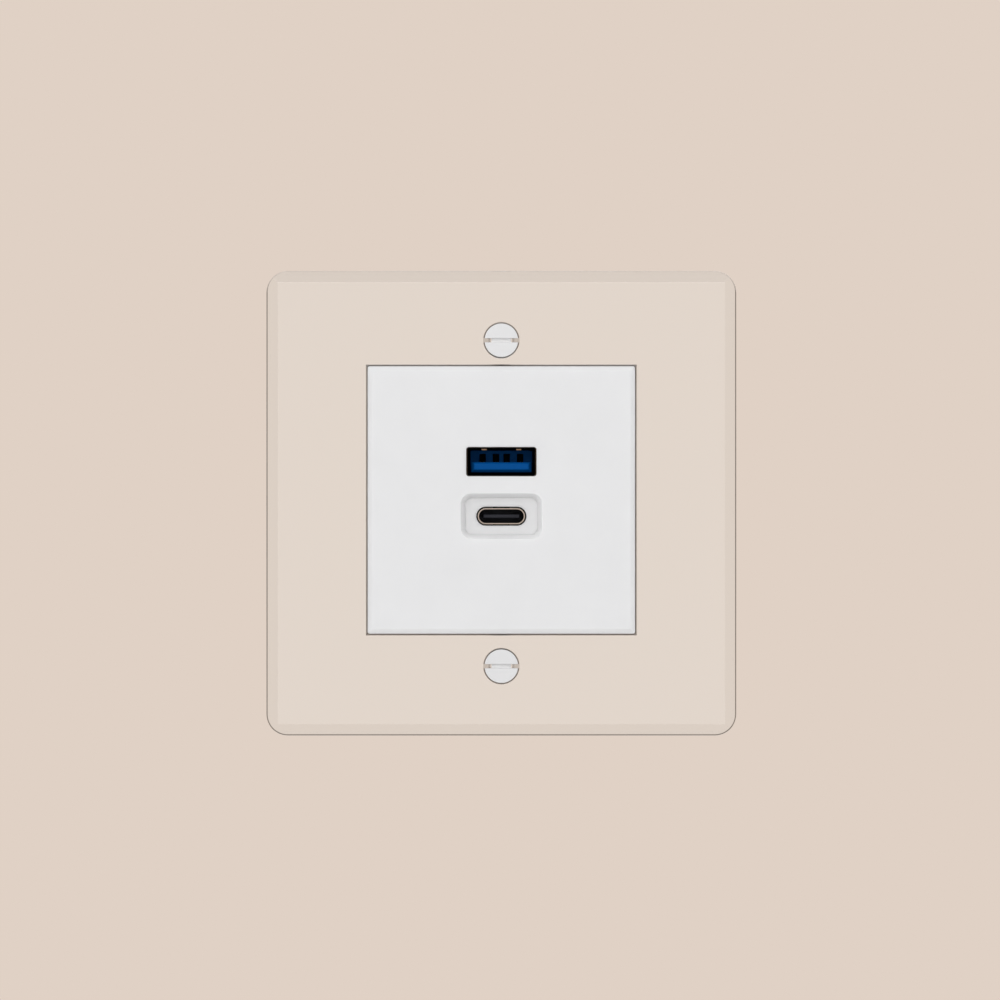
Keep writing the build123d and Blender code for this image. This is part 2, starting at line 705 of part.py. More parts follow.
# USB-C shell: a drawn oval tube with four legs
with BuildPart() as usb_c_shell:
    with BuildSketch(module_plane(board_front)):
        with Locations((0, usb_c_z)):
            SlotOverall(usb_c_outer_width, usb_c_outer_height)
            SlotOverall(usb_c_shell_width, usb_c_shell_height, mode=Mode.SUBTRACT)
    extrude(amount=board_front - usb_c_mouth)
    with BuildSketch(module_plane(board_front)):
        with Locations((0, usb_c_z)):
            with GridLocations(usb_c_leg_spacing, usb_c_shell_height + usb_c_sheet, 2, 2):
                Rectangle(shell_leg_width, usb_c_sheet)
    extrude(amount=tail_trim - board_thickness)
usb_c_shell.part.label = "usb_c_shell"
export_step(usb_c_shell.part, "parts/usb_c_shell.step")

# USB-C insulator: a block in the back of the shell, with the thin tongue in its middle
with BuildPart() as usb_c_insulator:
    with BuildSketch(module_plane(board_front)):
        with Locations((0, usb_c_z)):
            SlotOverall(usb_c_shell_width - 2 * insulator_fit, usb_c_shell_height - 2 * insulator_fit)
    extrude(amount=board_front - usb_c_rear_wall)
    with BuildSketch(module_plane(usb_c_rear_wall)):
        with Locations((0, usb_c_z)):
            Rectangle(usb_c_tongue_width, usb_c_tongue_thickness)
    extrude(amount=usb_c_cavity - usb_c_tongue_setback)
    chamfer(usb_c_insulator.faces().sort_by(Axis.Y)[0].edges(), usb_c_tongue_chamfer)
    # A shallow pocket on each face of the tongue takes a row of contacts
    with BuildSketch(module_plane(usb_c_rear_wall)):
        with Locations((0, usb_c_z)):
            with GridLocations(0, 2 * usb_c_contact_row, 1, 2):
                Rectangle(usb_c_contact_count * usb_c_contact_pitch, usb_c_contact_thickness)
    extrude(amount=usb_c_contact_length, mode=Mode.SUBTRACT)
usb_c_insulator.part.label = "usb_c_insulator"
export_step(usb_c_insulator.part, "parts/usb_c_insulator.step")

# USB-C contacts: a row of strips on each face of the tongue, flush with it
with BuildPart() as usb_c_contacts:
    with BuildSketch(module_plane(usb_c_rear_wall)):
        with Locations((0, usb_c_z)):
            with GridLocations(usb_c_contact_pitch, 2 * usb_c_contact_row, usb_c_contact_count, 2):
                Rectangle(usb_c_contact_width, usb_c_contact_thickness)
    extrude(amount=usb_c_contact_length)
usb_c_contacts.part.label = "usb_c_contacts"
export_step(usb_c_contacts.part, "parts/usb_c_contacts.step")

# Terminal block: two chambers open at the bottom, with sunk screw seats in the back
with BuildPart() as terminal_block:
    with BuildSketch(level_plane(terminal_block_bottom)):
        with Locations((0, (board_back + terminal_block_rear) / 2)):
            Rectangle(terminal_block_width, terminal_block_rear - board_back)
    extrude(amount=terminal_block_top - terminal_block_bottom)
    with BuildSketch(level_plane(terminal_block_bottom)):
        with Locations(*[(x, (chamber_front + chamber_rear) / 2) for x in terminal_xs.values()]):
            Rectangle(chamber_width, chamber_rear - chamber_front)
    extrude(amount=chamber_top - terminal_block_bottom, mode=Mode.SUBTRACT)
    with BuildSketch(module_plane(terminal_block_rear)):
        with Locations(*[(x, terminal_z) for x in terminal_xs.values()]):
            Circle(terminal_head_diameter / 2 + terminal_head_clearance)
    extrude(amount=terminal_block_rear - terminal_head_seat, mode=Mode.SUBTRACT)
    with BuildSketch(module_plane(terminal_head_seat)):
        with Locations(*[(x, terminal_z) for x in terminal_xs.values()]):
            Circle(terminal_thread_diameter / 2 + terminal_head_clearance)
    extrude(amount=terminal_shoulder, mode=Mode.SUBTRACT)
    with BuildSketch(level_plane(chamber_top)):
        with Locations(
            *[(x, (terminal_plate_front + terminal_plate_rear) / 2) for x in terminal_xs.values()]
        ):
            Rectangle(
                terminal_plate_width + 2 * lead_clearance,
                terminal_plate_thickness + 2 * lead_clearance,
            )
    extrude(amount=terminal_block_wall, mode=Mode.SUBTRACT)
terminal_block.part.label = "terminal_block"
export_step(terminal_block.part, "parts/terminal_block.step")

# Each pole has a fixed plate, a rising clamp round it and a captive screw that drives the clamp
for pole, pole_x in terminal_xs.items():
    # Fixed plate: an angle that leaves the block upwards, turns to the board and ends in a solder tail
    with BuildPart() as terminal_plate:
        with BuildSketch(side_plane(pole_x)):
            with BuildLine():
                Polyline(
                    (terminal_plate_rear, clamp_bottom),
                    (terminal_plate_rear, terminal_tail_z + terminal_plate_thickness / 2),
                    (board_back, terminal_tail_z + terminal_plate_thickness / 2),
                    (board_back, terminal_tail_z - terminal_plate_thickness / 2),
                    (terminal_plate_front, terminal_tail_z - terminal_plate_thickness / 2),
                    (terminal_plate_front, clamp_bottom),
                    close=True,
                )
            make_face()
        extrude(amount=terminal_plate_width / 2, both=True)
        with BuildSketch(module_plane(board_back)):
            with Locations((pole_x, terminal_tail_z)):
                Rectangle(terminal_tail_width, terminal_plate_thickness)
        extrude(amount=board_back - tail_end)
    terminal_plate.part.label = f"{pole}_terminal_plate"
    export_step(terminal_plate.part, f"parts/{pole}_terminal_plate.step")

    # Rising clamp: a square ring, threaded at the back
    with BuildPart() as clamp:
        with BuildSketch(level_plane(clamp_bottom)):
            with Locations((pole_x, (clamp_front + clamp_rear) / 2)):
                Rectangle(clamp_width, clamp_rear - clamp_front)
            window_front = clamp_front + clamp_wall
            window_rear = clamp_rear - clamp_nut_wall
            with Locations((pole_x, (window_front + window_rear) / 2)):
                Rectangle(clamp_inside_width, window_rear - window_front, mode=Mode.SUBTRACT)
        extrude(amount=clamp_depth)
        with BuildSketch(module_plane(clamp_rear)):
            with Locations((pole_x, terminal_z)):
                Circle(terminal_thread_diameter / 2 + terminal_thread_clearance)
        extrude(amount=clamp_nut_wall, mode=Mode.SUBTRACT)
    clamp.part.label = f"{pole}_clamp"
    export_step(clamp.part, f"parts/{pole}_clamp.step")

    # Captive screw: its tip bears on the fixed plate, and its head on the block's seat
    with BuildPart() as terminal_screw:
        with BuildSketch(turning_plane(pole_x, module_rise + terminal_z)):
            with BuildLine():
                Polyline(
                    (0, terminal_plate_rear + terminal_screw_end_gap),
                    (terminal_thread_diameter / 2, terminal_plate_rear + terminal_screw_end_gap),
                    (terminal_thread_diameter / 2, terminal_head_front),
                    (terminal_head_diameter / 2, terminal_head_front),
                    (terminal_head_diameter / 2, terminal_head_rear),
                    (0, terminal_head_rear),
                    close=True,
                )
            make_face()
        revolve(axis=turning_axis(pole_x, module_rise + terminal_z))
        with BuildSketch(module_plane(terminal_head_rear)):
            with Locations((pole_x, terminal_z)):
                Rectangle(terminal_head_diameter, driver_slot_width)
        extrude(amount=driver_slot_depth, mode=Mode.SUBTRACT)
    terminal_screw.part.label = f"{pole}_terminal_screw"
    export_step(terminal_screw.part, f"parts/{pole}_terminal_screw.step")

# Transformer core: two halves that meet in the middle of the coil
core_middle = (core_front + core_rear) / 2
for half, half_front, half_rear in (("front", core_front, core_middle), ("rear", core_middle, core_rear)):
    with BuildPart() as transformer_core:
        with BuildSketch(level_plane(transformer_z)):
            with Locations((transformer_x, core_middle)):
                Rectangle(core_width, core_height)
                window_width = (core_width - core_centre_leg) / 2 - core_outer_leg
                with GridLocations(core_centre_leg + window_width, 0, 2, 1):
                    Rectangle(window_width, core_height - 2 * core_yoke, mode=Mode.SUBTRACT)
            with Locations((transformer_x, (half_front + half_rear) / 2)):
                Rectangle(core_width, half_rear - half_front, mode=Mode.INTERSECT)
        extrude(amount=core_depth / 2, both=True)
    transformer_core.part.label = f"transformer_core_{half}"
    export_step(transformer_core.part, f"parts/transformer_core_{half}.step")

# Transformer bobbin: a flanged tube on two pin rails
with BuildPart() as transformer_bobbin:
    for flange_rear in (spool_front + bobbin_flange, spool_rear):
        with BuildSketch(module_plane(flange_rear)):
            with Locations((transformer_x, transformer_z)):
                Rectangle(bobbin_width, bobbin_depth)
        extrude(amount=bobbin_flange)
    with BuildSketch(module_plane(spool_rear)):
        with Locations((transformer_x, transformer_z)):
            Rectangle(tube_width, tube_depth)
    extrude(amount=spool_rear - spool_front)
    with BuildSketch(module_plane(spool_rear)):
        with Locations((transformer_x, transformer_z)):
            Rectangle(tube_inside_width, tube_inside_depth)
    extrude(amount=spool_rear - spool_front, mode=Mode.SUBTRACT)
    with BuildSketch(module_plane(spool_front)):
        with Locations((transformer_x, transformer_z)):
            with GridLocations(0, 2 * bobbin_rail_offset, 1, 2):
                Rectangle(bobbin_width, bobbin_rail_width)
    extrude(amount=spool_front - board_back)
    with BuildSketch(module_plane(board_back)):
        with Locations((transformer_x, transformer_z)):
            with GridLocations(transformer_pin_pitch, 2 * bobbin_rail_offset, transformer_pins, 2):
                Rectangle(lead_side, lead_side)
    extrude(amount=board_back - tail_end)
transformer_bobbin.part.label = "transformer_bobbin"
export_step(transformer_bobbin.part, "parts/transformer_bobbin.step")

# Transformer winding: the taped coil between the bobbin's flanges
with BuildPart() as transformer_winding:
    with BuildSketch(module_plane(spool_rear - bobbin_flange)):
        with Locations((transformer_x, transformer_z)):
            RectangleRounded(bobbin_width, winding_depth, winding_radius)
            Rectangle(tube_width, tube_depth, mode=Mode.SUBTRACT)
    extrude(amount=spool_rear - spool_front - 2 * bobbin_flange)
transformer_winding.part.label = "transformer_winding"
export_step(transformer_winding.part, "parts/transformer_winding.step")

# Electrolytic cans: large ones behind the board, small ones in front of it
can_sets = (
    ("bulk", 1, board_back, bulk_capacitor_x, bulk_capacitor_zs),
    ("output", -1, board_front, output_capacitor_x, output_capacitor_zs),
)
can_sizes = {
    "bulk": (bulk_capacitor_diameter, bulk_capacitor_height, bulk_capacitor_pitch),
    "output": (output_capacitor_diameter, output_capacitor_height, output_capacitor_pitch),
}
for kind, way, seat, can_x, can_zs in can_sets:
    can_diameter, can_height, can_pitch = can_sizes[kind]
    for number, can_z in enumerate(can_zs, start=1):
        with BuildPart() as capacitor:
            with BuildSketch(module_plane(seat)):
                with Locations((can_x, can_z)):
                    Circle(can_diameter / 2)
            extrude(amount=-way * can_height)
            with BuildSketch(module_plane(seat)):
                with Locations(*lead_points(can_x, can_z, can_pitch)):
                    Rectangle(lead_side, lead_side)
            extrude(amount=way * (board_thickness - tail_trim))
        capacitor.part.label = f"{kind}_capacitor_{number}"
        export_step(capacitor.part, f"parts/{kind}_capacitor_{number}.step")

# Choke: a ferrite drum and the wire wound in its waist
choke_waist_front = board_back + choke_flange
choke_waist_rear = board_back + choke_height - choke_flange
with BuildPart() as choke_core:
    with BuildSketch(turning_plane(choke_x, module_rise + choke_z)):
        with BuildLine():
            Polyline(
                (0, board_back),
                (choke_diameter / 2, board_back),
                (choke_diameter / 2, choke_waist_front),
                (choke_waist_diameter / 2, choke_waist_front),
                (choke_waist_diameter / 2, choke_waist_rear),
                (choke_diameter / 2, choke_waist_rear),
                (choke_diameter / 2, board_back + choke_height),
                (0, board_back + choke_height),
                close=True,
            )
        make_face()
    revolve(axis=turning_axis(choke_x, module_rise + choke_z))
    with BuildSketch(module_plane(board_back)):
        with Locations(*lead_points(choke_x, choke_z, choke_pitch)):
            Rectangle(lead_side, lead_side)
    extrude(amount=board_back - tail_end)
choke_core.part.label = "choke_core"
export_step(choke_core.part, "parts/choke_core.step")

with BuildPart() as choke_winding:
    with BuildSketch(module_plane(choke_waist_rear)):
        with Locations((choke_x, choke_z)):
            Circle(choke_diameter / 2 - choke_winding_inset)
            Circle(choke_waist_diameter / 2, mode=Mode.SUBTRACT)
    extrude(amount=choke_waist_rear - choke_waist_front)
choke_winding.part.label = "choke_winding"
export_step(choke_winding.part, "parts/choke_winding.step")

# Fuse: a small round moulded case
with BuildPart() as fuse:
    with BuildSketch(module_plane(board_back)):
        with Locations((fuse_x, fuse_z)):
            Circle(fuse_diameter / 2)
    extrude(amount=-fuse_height)
    with BuildSketch(module_plane(board_back)):
        with Locations(*lead_points(fuse_x, fuse_z, fuse_pitch)):
            Rectangle(lead_side, lead_side)
    extrude(amount=board_back - tail_end)
fuse.part.label = "fuse"
export_step(fuse.part, "parts/fuse.step")

# Disc parts stand on their leads: the surge varistor and the suppression capacitor
for disc_name, disc_x in (("varistor", varistor_x), ("suppression_capacitor", suppression_capacitor_x)):
    disc_y = board_back + disc_standoff + disc_diameter / 2
    with BuildPart() as disc:
        with BuildSketch(level_plane(disc_z)):
            with Locations((disc_x, disc_y)):
                Circle(disc_diameter / 2)
        extrude(amount=disc_thickness / 2, both=True)
        with BuildSketch(module_plane(disc_y)):
            with Locations(*lead_points(disc_x, disc_z, disc_pitch)):
                Rectangle(lead_side, lead_side)
        extrude(amount=disc_y - tail_end)
    disc.part.label = disc_name
    export_step(disc.part, f"parts/{disc_name}.step")

# Moulded chips lie in a row on the front of the board, with flat legs left and right
chips = (
    ("bridge_rectifier", bridge_width, bridge_length, bridge_height, bridge_leg_count),
    ("optocoupler", optocoupler_width, optocoupler_length, optocoupler_height, optocoupler_leg_count),
    ("controller_chip", controller_width, controller_length, controller_height, controller_leg_count),
)
chip_row_top = post_z - post_width / 2 - part_spacing
for chip_name, chip_width, chip_length, chip_height, leg_count in chips:
    chip_z = chip_row_top - chip_length / 2
    chip_row_top = chip_row_top - chip_length - 2 * part_spacing
    with BuildPart() as chip:
        with BuildSketch(module_plane(board_front)):
            with Locations((chip_x, chip_z)):
                Rectangle(chip_width, chip_length)
        extrude(amount=chip_height, taper=chip_wall_taper)
        with BuildSketch(module_plane(board_front)):
            with Locations((chip_x, chip_z)):
                with GridLocations(0, chip_length / (leg_count + 1), 1, leg_count):
                    Rectangle(chip_width + 2 * chip_leg_reach, chip_leg_width)
        extrude(amount=chip_leg_thickness)
    chip.part.label = chip_name
    export_step(chip.part, f"parts/{chip_name}.step")
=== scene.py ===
# %% [markdown]
# # A USB wall socket behind a clear plate
# The CAD model already has every piece in its real place and size. This lesson gives it the looks of the
# real thing: polished acrylic, painted screws, a spark-textured white moulding and two metal ports.
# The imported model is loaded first, because every later piece is placed by it.

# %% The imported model
from math import radians

import bmesh
import bpy
import numpy as np
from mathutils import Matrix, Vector, geometry


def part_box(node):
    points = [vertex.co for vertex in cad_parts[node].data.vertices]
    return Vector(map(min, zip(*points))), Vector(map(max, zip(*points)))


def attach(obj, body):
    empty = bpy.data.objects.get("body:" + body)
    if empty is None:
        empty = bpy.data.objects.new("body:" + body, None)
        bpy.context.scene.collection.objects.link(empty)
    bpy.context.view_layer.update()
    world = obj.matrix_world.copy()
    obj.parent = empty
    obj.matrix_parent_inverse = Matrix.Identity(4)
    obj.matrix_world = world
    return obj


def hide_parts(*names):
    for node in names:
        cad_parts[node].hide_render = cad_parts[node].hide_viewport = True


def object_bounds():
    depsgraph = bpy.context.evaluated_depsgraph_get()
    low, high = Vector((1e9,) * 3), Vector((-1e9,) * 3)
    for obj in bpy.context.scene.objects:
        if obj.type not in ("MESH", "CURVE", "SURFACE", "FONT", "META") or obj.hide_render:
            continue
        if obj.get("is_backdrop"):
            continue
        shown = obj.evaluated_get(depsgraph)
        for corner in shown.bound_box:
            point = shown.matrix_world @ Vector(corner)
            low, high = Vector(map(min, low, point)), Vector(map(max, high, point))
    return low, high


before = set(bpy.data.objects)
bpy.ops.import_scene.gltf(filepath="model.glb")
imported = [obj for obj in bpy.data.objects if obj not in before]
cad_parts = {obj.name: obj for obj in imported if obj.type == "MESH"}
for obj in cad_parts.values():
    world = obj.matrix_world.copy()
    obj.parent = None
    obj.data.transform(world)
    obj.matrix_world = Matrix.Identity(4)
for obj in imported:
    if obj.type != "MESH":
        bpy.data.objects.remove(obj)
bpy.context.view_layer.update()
MM = 0.001

# %% [markdown]
# ## Camera
# The photograph looks straight at the plate through a long lens, so lines into the wall hardly converge.
# The two screws, 60.3 mm apart, are 326 pixels apart there. That gives the width of the frame.

# %% Camera
FRAME_WIDTH = 185 * MM
CAMERA_DISTANCE = 1500 * MM
SENSOR_WIDTH = 36.0
AIM_LEFT_OF_SCREWS = 0.25 * MM
AIM_ABOVE_SCREWS = 0.6 * MM
plate_low, plate_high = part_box("clear_plate")
camera = bpy.data.objects.new("camera", bpy.data.cameras.new("camera"))
camera.data.sensor_width = SENSOR_WIDTH
camera.data.lens = SENSOR_WIDTH * CAMERA_DISTANCE / FRAME_WIDTH
camera.location = (-AIM_LEFT_OF_SCREWS, plate_low.y - CAMERA_DISTANCE, AIM_ABOVE_SCREWS)
camera.rotation_euler = (radians(90), 0, 0)
bpy.context.scene.collection.objects.link(camera)
bpy.context.scene.camera = camera
bpy.context.scene.view_settings.view_transform = "Standard"
print("lens", round(camera.data.lens, 1), "mm")

# %% [markdown]
# ## Two small helpers for finishes
# Colours are written as sRGB hex values, as a colour picker shows them, and Blender's shaders want linear
# light. One function converts them. A second one adds a node, so that each finish below reads as a list.

# %% Colours and nodes
def linear(hex_colour):
    """Linear colour and alpha of a hex value: ((c + 0.055) / 1.055) ** 2.4, or c / 12.92 near black."""
    srgb = np.array([int(hex_colour[i : i + 2], 16) for i in (1, 3, 5)]) / 255
    light = np.where(srgb <= 0.04045, srgb / 12.92, ((srgb + 0.055) / 1.055) ** 2.4)
    return (*light.tolist(), 1.0)


def add(tree, kind, inputs=None, **settings):
    """One node with its settings. inputs gives a socket its value, or links it to another node's output."""
    node = tree.nodes.new(kind)
    for name, value in settings.items():
        setattr(node, name, value)
    for socket, value in (inputs or {}).items():
        if isinstance(value, bpy.types.NodeSocket):
            tree.links.new(value, node.inputs[socket])
        else:
            node.inputs[socket].default_value = value
    return node


def finish_named(name, **plain_values):
    """A new material and its Principled shader, with these plain values on the shader's own sockets."""
    material = bpy.data.materials.new(name)
    material.use_nodes = True
    shader = material.node_tree.nodes["Principled BSDF"]
    for socket, value in plain_values.items():
        shader.inputs[socket.replace("_", " ")].default_value = value
    return material, material.node_tree, shader


# %% [markdown]
# ## Studio
# The real socket is screwed to a pale wall. Here it hangs free in a seamless pale sweep of about the wall's
# colour, so the clear plate shows that colour through itself. The sweep is a profile turned round the
# object: a flat floor, a quarter circle and a wall.

# %% Surfaces from loops
def loft_faces(rows, columns, closed=True):
    """The quads between the rows of a grid of points, whose columns run round if closed."""
    row, column = np.mgrid[0 : rows - 1, 0 : columns if closed else columns - 1]
    here = row * columns + column
    beside = row * columns + (column + 1) % columns
    return np.stack((here, beside, beside + columns, here + columns), -1).reshape(-1, 4)


def new_mesh(name, points, faces):
    """A mesh object at the origin from an array of points and lists of faces."""
    mesh = bpy.data.meshes.new(name)
    mesh.from_pydata(points.tolist(), [], [list(map(int, face)) for face in faces])
    made = bpy.data.objects.new(name, mesh)
    bpy.context.scene.collection.objects.link(made)
    return made


# %% Sweep
BACKDROP_COLOUR = "#E0D1C5"
BOUNCE_COLOUR = "#DCDCDC"
FLOOR_DROP = 300 * MM
FLOOR_START = 1 * MM
FLOOR_RADIUS = 1600 * MM
SWEEP_RADIUS = 900 * MM
WALL_TOP = 1500 * MM
SHADOW_RADIUS = 700 * MM
SWEEP_STEPS = 24
ROUND_STEPS = 96
bend = np.linspace(0, np.pi / 2, SWEEP_STEPS)
wall_radius = FLOOR_RADIUS + SWEEP_RADIUS
profile_radius = np.concatenate(
    ([FLOOR_START], FLOOR_RADIUS + SWEEP_RADIUS * np.sin(bend), [wall_radius])
)
profile_height = np.concatenate(([0], SWEEP_RADIUS * (1 - np.cos(bend)), [WALL_TOP])) - FLOOR_DROP
around = np.linspace(0, 2 * np.pi, ROUND_STEPS, endpoint=False)
sweep_points = np.stack(
    (
        np.outer(profile_radius, np.cos(around)),
        np.outer(profile_radius, np.sin(around)),
        np.repeat(profile_height[:, None], ROUND_STEPS, 1),
    ),
    -1,
).reshape(-1, 3)
sweep = new_mesh("studio_sweep", sweep_points, loft_faces(len(profile_radius), ROUND_STEPS))
sweep.data.shade_smooth()
sweep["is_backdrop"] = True

# Painted card: of one even colour where it is seen, and pale grey for the light that it sends back
sweep_paint, tree, shader = finish_named("matt_sweep_paint", Roughness=0.9, Specular_IOR_Level=0.1)
shader.inputs["Base Color"].default_value = linear(BACKDROP_COLOUR)
rays = add(tree, "ShaderNodeLightPath")
seen_or_mirrored = add(
    tree,
    "ShaderNodeMath",
    {0: rays.outputs["Is Camera Ray"], 1: rays.outputs["Is Glossy Ray"]},
    operation="MAXIMUM",
)
seen = add(
    tree,
    "ShaderNodeMath",
    {0: seen_or_mirrored.outputs[0], 1: rays.outputs["Is Transmission Ray"]},
    operation="MAXIMUM",
)
card_place = add(tree, "ShaderNodeTexCoord").outputs["Object"]
away = add(tree, "ShaderNodeVectorMath", {0: card_place}, operation="LENGTH")
past_the_shadow = add(
    tree,
    "ShaderNodeMapRange",
    {"Value": away.outputs["Value"], "From Min": SHADOW_RADIUS, "From Max": FLOOR_RADIUS},
    interpolation_type="SMOOTHSTEP",
)
glow = add(tree, "ShaderNodeEmission", {"Color": linear(BACKDROP_COLOUR)})
looks = add(
    tree,
    "ShaderNodeMixShader",
    {0: past_the_shadow.outputs[0], 1: shader.outputs[0], 2: glow.outputs[0]},
)
bounce = add(tree, "ShaderNodeBsdfDiffuse", {"Color": linear(BOUNCE_COLOUR)})
sweep_shader = add(
    tree,
    "ShaderNodeMixShader",
    {0: seen.outputs[0], 1: bounce.outputs[0], 2: looks.outputs[0]},
)
tree.links.new(sweep_shader.outputs[0], tree.nodes["Material Output"].inputs["Surface"])
sweep.data.materials.append(sweep_paint)
print("sweep", len(sweep.data.polygons), "faces")

# %% [markdown]
# Soft light comes from a wide lamp above the camera and a little to its left. A large dim one stands right
# behind the camera and reaches into the ports and the screw slots. The flat face of the plate mirrors it
# evenly as a faint veil, which its bevels lack, so they stand out. A third one lights the back, and an even
# sky does the rest. No lamp is seen directly or through the plate.

# %% Lamps and sky
SKY_COLOUR = "#F2F2F4"
SKY_STRENGTH = 0.72
# Each lamp's place and its width and height in millimetres, and its power in watts
LAMPS = {
    "key": ((-250, -1300, 540), (2200, 700), 7.4),
    "front_fill": ((0, -1600, 0), (1400, 1400), 7.5),
    "rear_fill": ((500, 1100, 700), (1400, 1400), 5.0),
}
for name, (place_mm, size_mm, watts) in LAMPS.items():
    lamp = bpy.data.objects.new(name, bpy.data.lights.new(name, "AREA"))
    lamp.data.shape = "RECTANGLE"
    lamp.data.size, lamp.data.size_y = (side * MM for side in size_mm)
    lamp.data.energy = watts
    lamp.location = Vector(place_mm) * MM
    lamp.rotation_euler = (-lamp.location).to_track_quat("-Z", "Y").to_euler()
    lamp.visible_camera = False
    lamp.visible_transmission = False
    bpy.context.scene.collection.objects.link(lamp)

world = bpy.data.worlds.new("soft_sky")
world.use_nodes = True
world.node_tree.nodes["Background"].inputs["Color"].default_value = linear(SKY_COLOUR)
world.node_tree.nodes["Background"].inputs["Strength"].default_value = SKY_STRENGTH
bpy.context.scene.world = world
print("lamps", len(LAMPS))

# %% [markdown]
# ## Mouldings and metals
# Most pieces are injection mouldings. A mould that was spark-eroded leaves a fine matt grain, and the
# plastic has faint clouds a few millimetres wide. Metal parts were rolled, drawn or plated: their fine
# lines run one way. Each family is one function, and each finish says what the real material is.

# %% Families of finish
CLOUD_WIDTH = 6 * MM
STAIN_WIDTH = 1.5 * MM
MICRON = MM / 1000
PLASTIC_IOR = 1.53
GRAIN_GLOSS = 0.06
GRAIN_STRENGTH = 0.6
LINE_GLOSS_BELOW = 0.08
LINE_GLOSS_ABOVE = 0.1
LINE_STRENGTH = 0.4
STEEP_NORMAL = 0.4
FACING_NORMAL = 0.9


def shaded_by_depth(tree, place, shade, well):
    """The shade times a share that goes from 1 to end_share as the depth Y goes from start to end."""
    start, end, end_share = well
    depth = add(tree, "ShaderNodeSeparateXYZ", {0: place}).outputs["Y"]
    limits = {"From Min": start * MM, "From Max": end * MM, "To Min": 1.0, "To Max": end_share}
    share = add(tree, "ShaderNodeMapRange", {"Value": depth, **limits}).outputs[0]
    return add(tree, "ShaderNodeMath", {0: shade, 1: share}, operation="MULTIPLY").outputs[0]


def painted_light_on_walls(tree, shade, wall_share):
    """Painted light: the shade times wall_share on walls that run along Y, where the normal's own Y is
    small.
    """
    normal = add(tree, "ShaderNodeTexCoord").outputs["Normal"]
    along = add(tree, "ShaderNodeSeparateXYZ", {0: normal}).outputs["Y"]
    facing = add(tree, "ShaderNodeMath", {0: along}, operation="ABSOLUTE").outputs[0]
    limits = {"From Min": STEEP_NORMAL, "From Max": FACING_NORMAL, "To Min": wall_share, "To Max": 1.0}
    share = add(tree, "ShaderNodeMapRange", {"Value": facing, **limits}).outputs[0]
    return add(tree, "ShaderNodeMath", {0: shade, 1: share}, operation="MULTIPLY").outputs[0]


def moulding(
    name, colour, roughness, grain_mm, relief_um, cloud=0.02, well=None, walls=None, **plain_values
):
    """Injection-moulded plastic: grain from the mould as bump, and faint clouds in its colour and gloss."""
    material, tree, shader = finish_named(name, IOR=PLASTIC_IOR, **plain_values)
    place = add(tree, "ShaderNodeTexCoord").outputs["Object"]
    grain = add(tree, "ShaderNodeTexNoise", {"Vector": place, "Scale": 1 / (grain_mm * MM), "Detail": 2.0})
    clouds = add(tree, "ShaderNodeTexNoise", {"Vector": place, "Scale": 1 / CLOUD_WIDTH, "Detail": 3.0})
    shade = add(
        tree, "ShaderNodeMapRange", {"Value": clouds.outputs[0], "To Min": 1 - cloud, "To Max": 1 + cloud}
    )
    gloss = add(
        tree,
        "ShaderNodeMapRange",
        {"Value": grain.outputs[0], "To Min": roughness - GRAIN_GLOSS, "To Max": roughness + GRAIN_GLOSS},
    )
    # Painted shade by depth and painted light on steep walls, where a well or walls are given
    value = shaded_by_depth(tree, place, shade.outputs[0], well) if well else shade.outputs[0]
    value = painted_light_on_walls(tree, value, walls) if walls else value
    tint = add(tree, "ShaderNodeHueSaturation", {"Value": value, "Color": linear(colour)})
    bump = add(
        tree,
        "ShaderNodeBump",
        {"Strength": GRAIN_STRENGTH, "Distance": relief_um * MICRON, "Height": grain.outputs[0]},
    )
    tree.links.new(tint.outputs[0], shader.inputs["Base Color"])
    tree.links.new(gloss.outputs[0], shader.inputs["Roughness"])
    tree.links.new(bump.outputs[0], shader.inputs["Normal"])
    return material


def drawn_metal(
    name, colour, roughness, line_mm, relief_um, along=(1.0, 0.04, 1.0), stain=0.06, well=None
):
    """Rolled or drawn metal: a noise stretched along the drawing gives fine lines in gloss and bump."""
    material, tree, shader = finish_named(name, Metallic=1.0)
    place = add(tree, "ShaderNodeTexCoord").outputs["Object"]
    stretched = add(tree, "ShaderNodeMapping", {"Vector": place, "Scale": along})
    lines = add(
        tree,
        "ShaderNodeTexNoise",
        {"Vector": stretched.outputs[0], "Scale": 1 / (line_mm * MM), "Detail": 3.0},
    )
    stains = add(tree, "ShaderNodeTexNoise", {"Vector": place, "Scale": 1 / STAIN_WIDTH, "Detail": 4.0})
    shade = add(
        tree, "ShaderNodeMapRange", {"Value": stains.outputs[0], "To Min": 1 - stain, "To Max": 1 + stain}
    )
    gloss_limits = {"To Min": roughness - LINE_GLOSS_BELOW, "To Max": roughness + LINE_GLOSS_ABOVE}
    gloss = add(tree, "ShaderNodeMapRange", {"Value": lines.outputs[0], **gloss_limits})
    value = shaded_by_depth(tree, place, shade.outputs[0], well) if well else shade.outputs[0]
    tint = add(tree, "ShaderNodeHueSaturation", {"Value": value, "Color": linear(colour)})
    bump = add(
        tree,
        "ShaderNodeBump",
        {"Strength": LINE_STRENGTH, "Distance": relief_um * MICRON, "Height": lines.outputs[0]},
    )
    tree.links.new(tint.outputs[0], shader.inputs["Base Color"])
    tree.links.new(gloss.outputs[0], shader.inputs["Roughness"])
    tree.links.new(bump.outputs[0], shader.inputs["Normal"])
    return material


# %% Finishes of the mouldings and metals
# White polycarbonate blend with a fine spark-eroded grain: matt and even. Light spreads about a millimetre
# inside it, which softens every edge. Steep walls, such as those of the recess, are painted lighter, a
# painted light, and the recess floor and deeper parts are painted darker, a painted shade
white_moulding = moulding(
    "white_polycarbonate_spark_grain",
    "#E9E9E9",
    0.5,
    0.22,
    6,
    well=(-3.4, -2.2, 0.92),
    walls=1.08,
    Subsurface_Weight=0.9,
    Subsurface_Radius=(1, 1, 1),
    Subsurface_Scale=1.2 * MM,
)
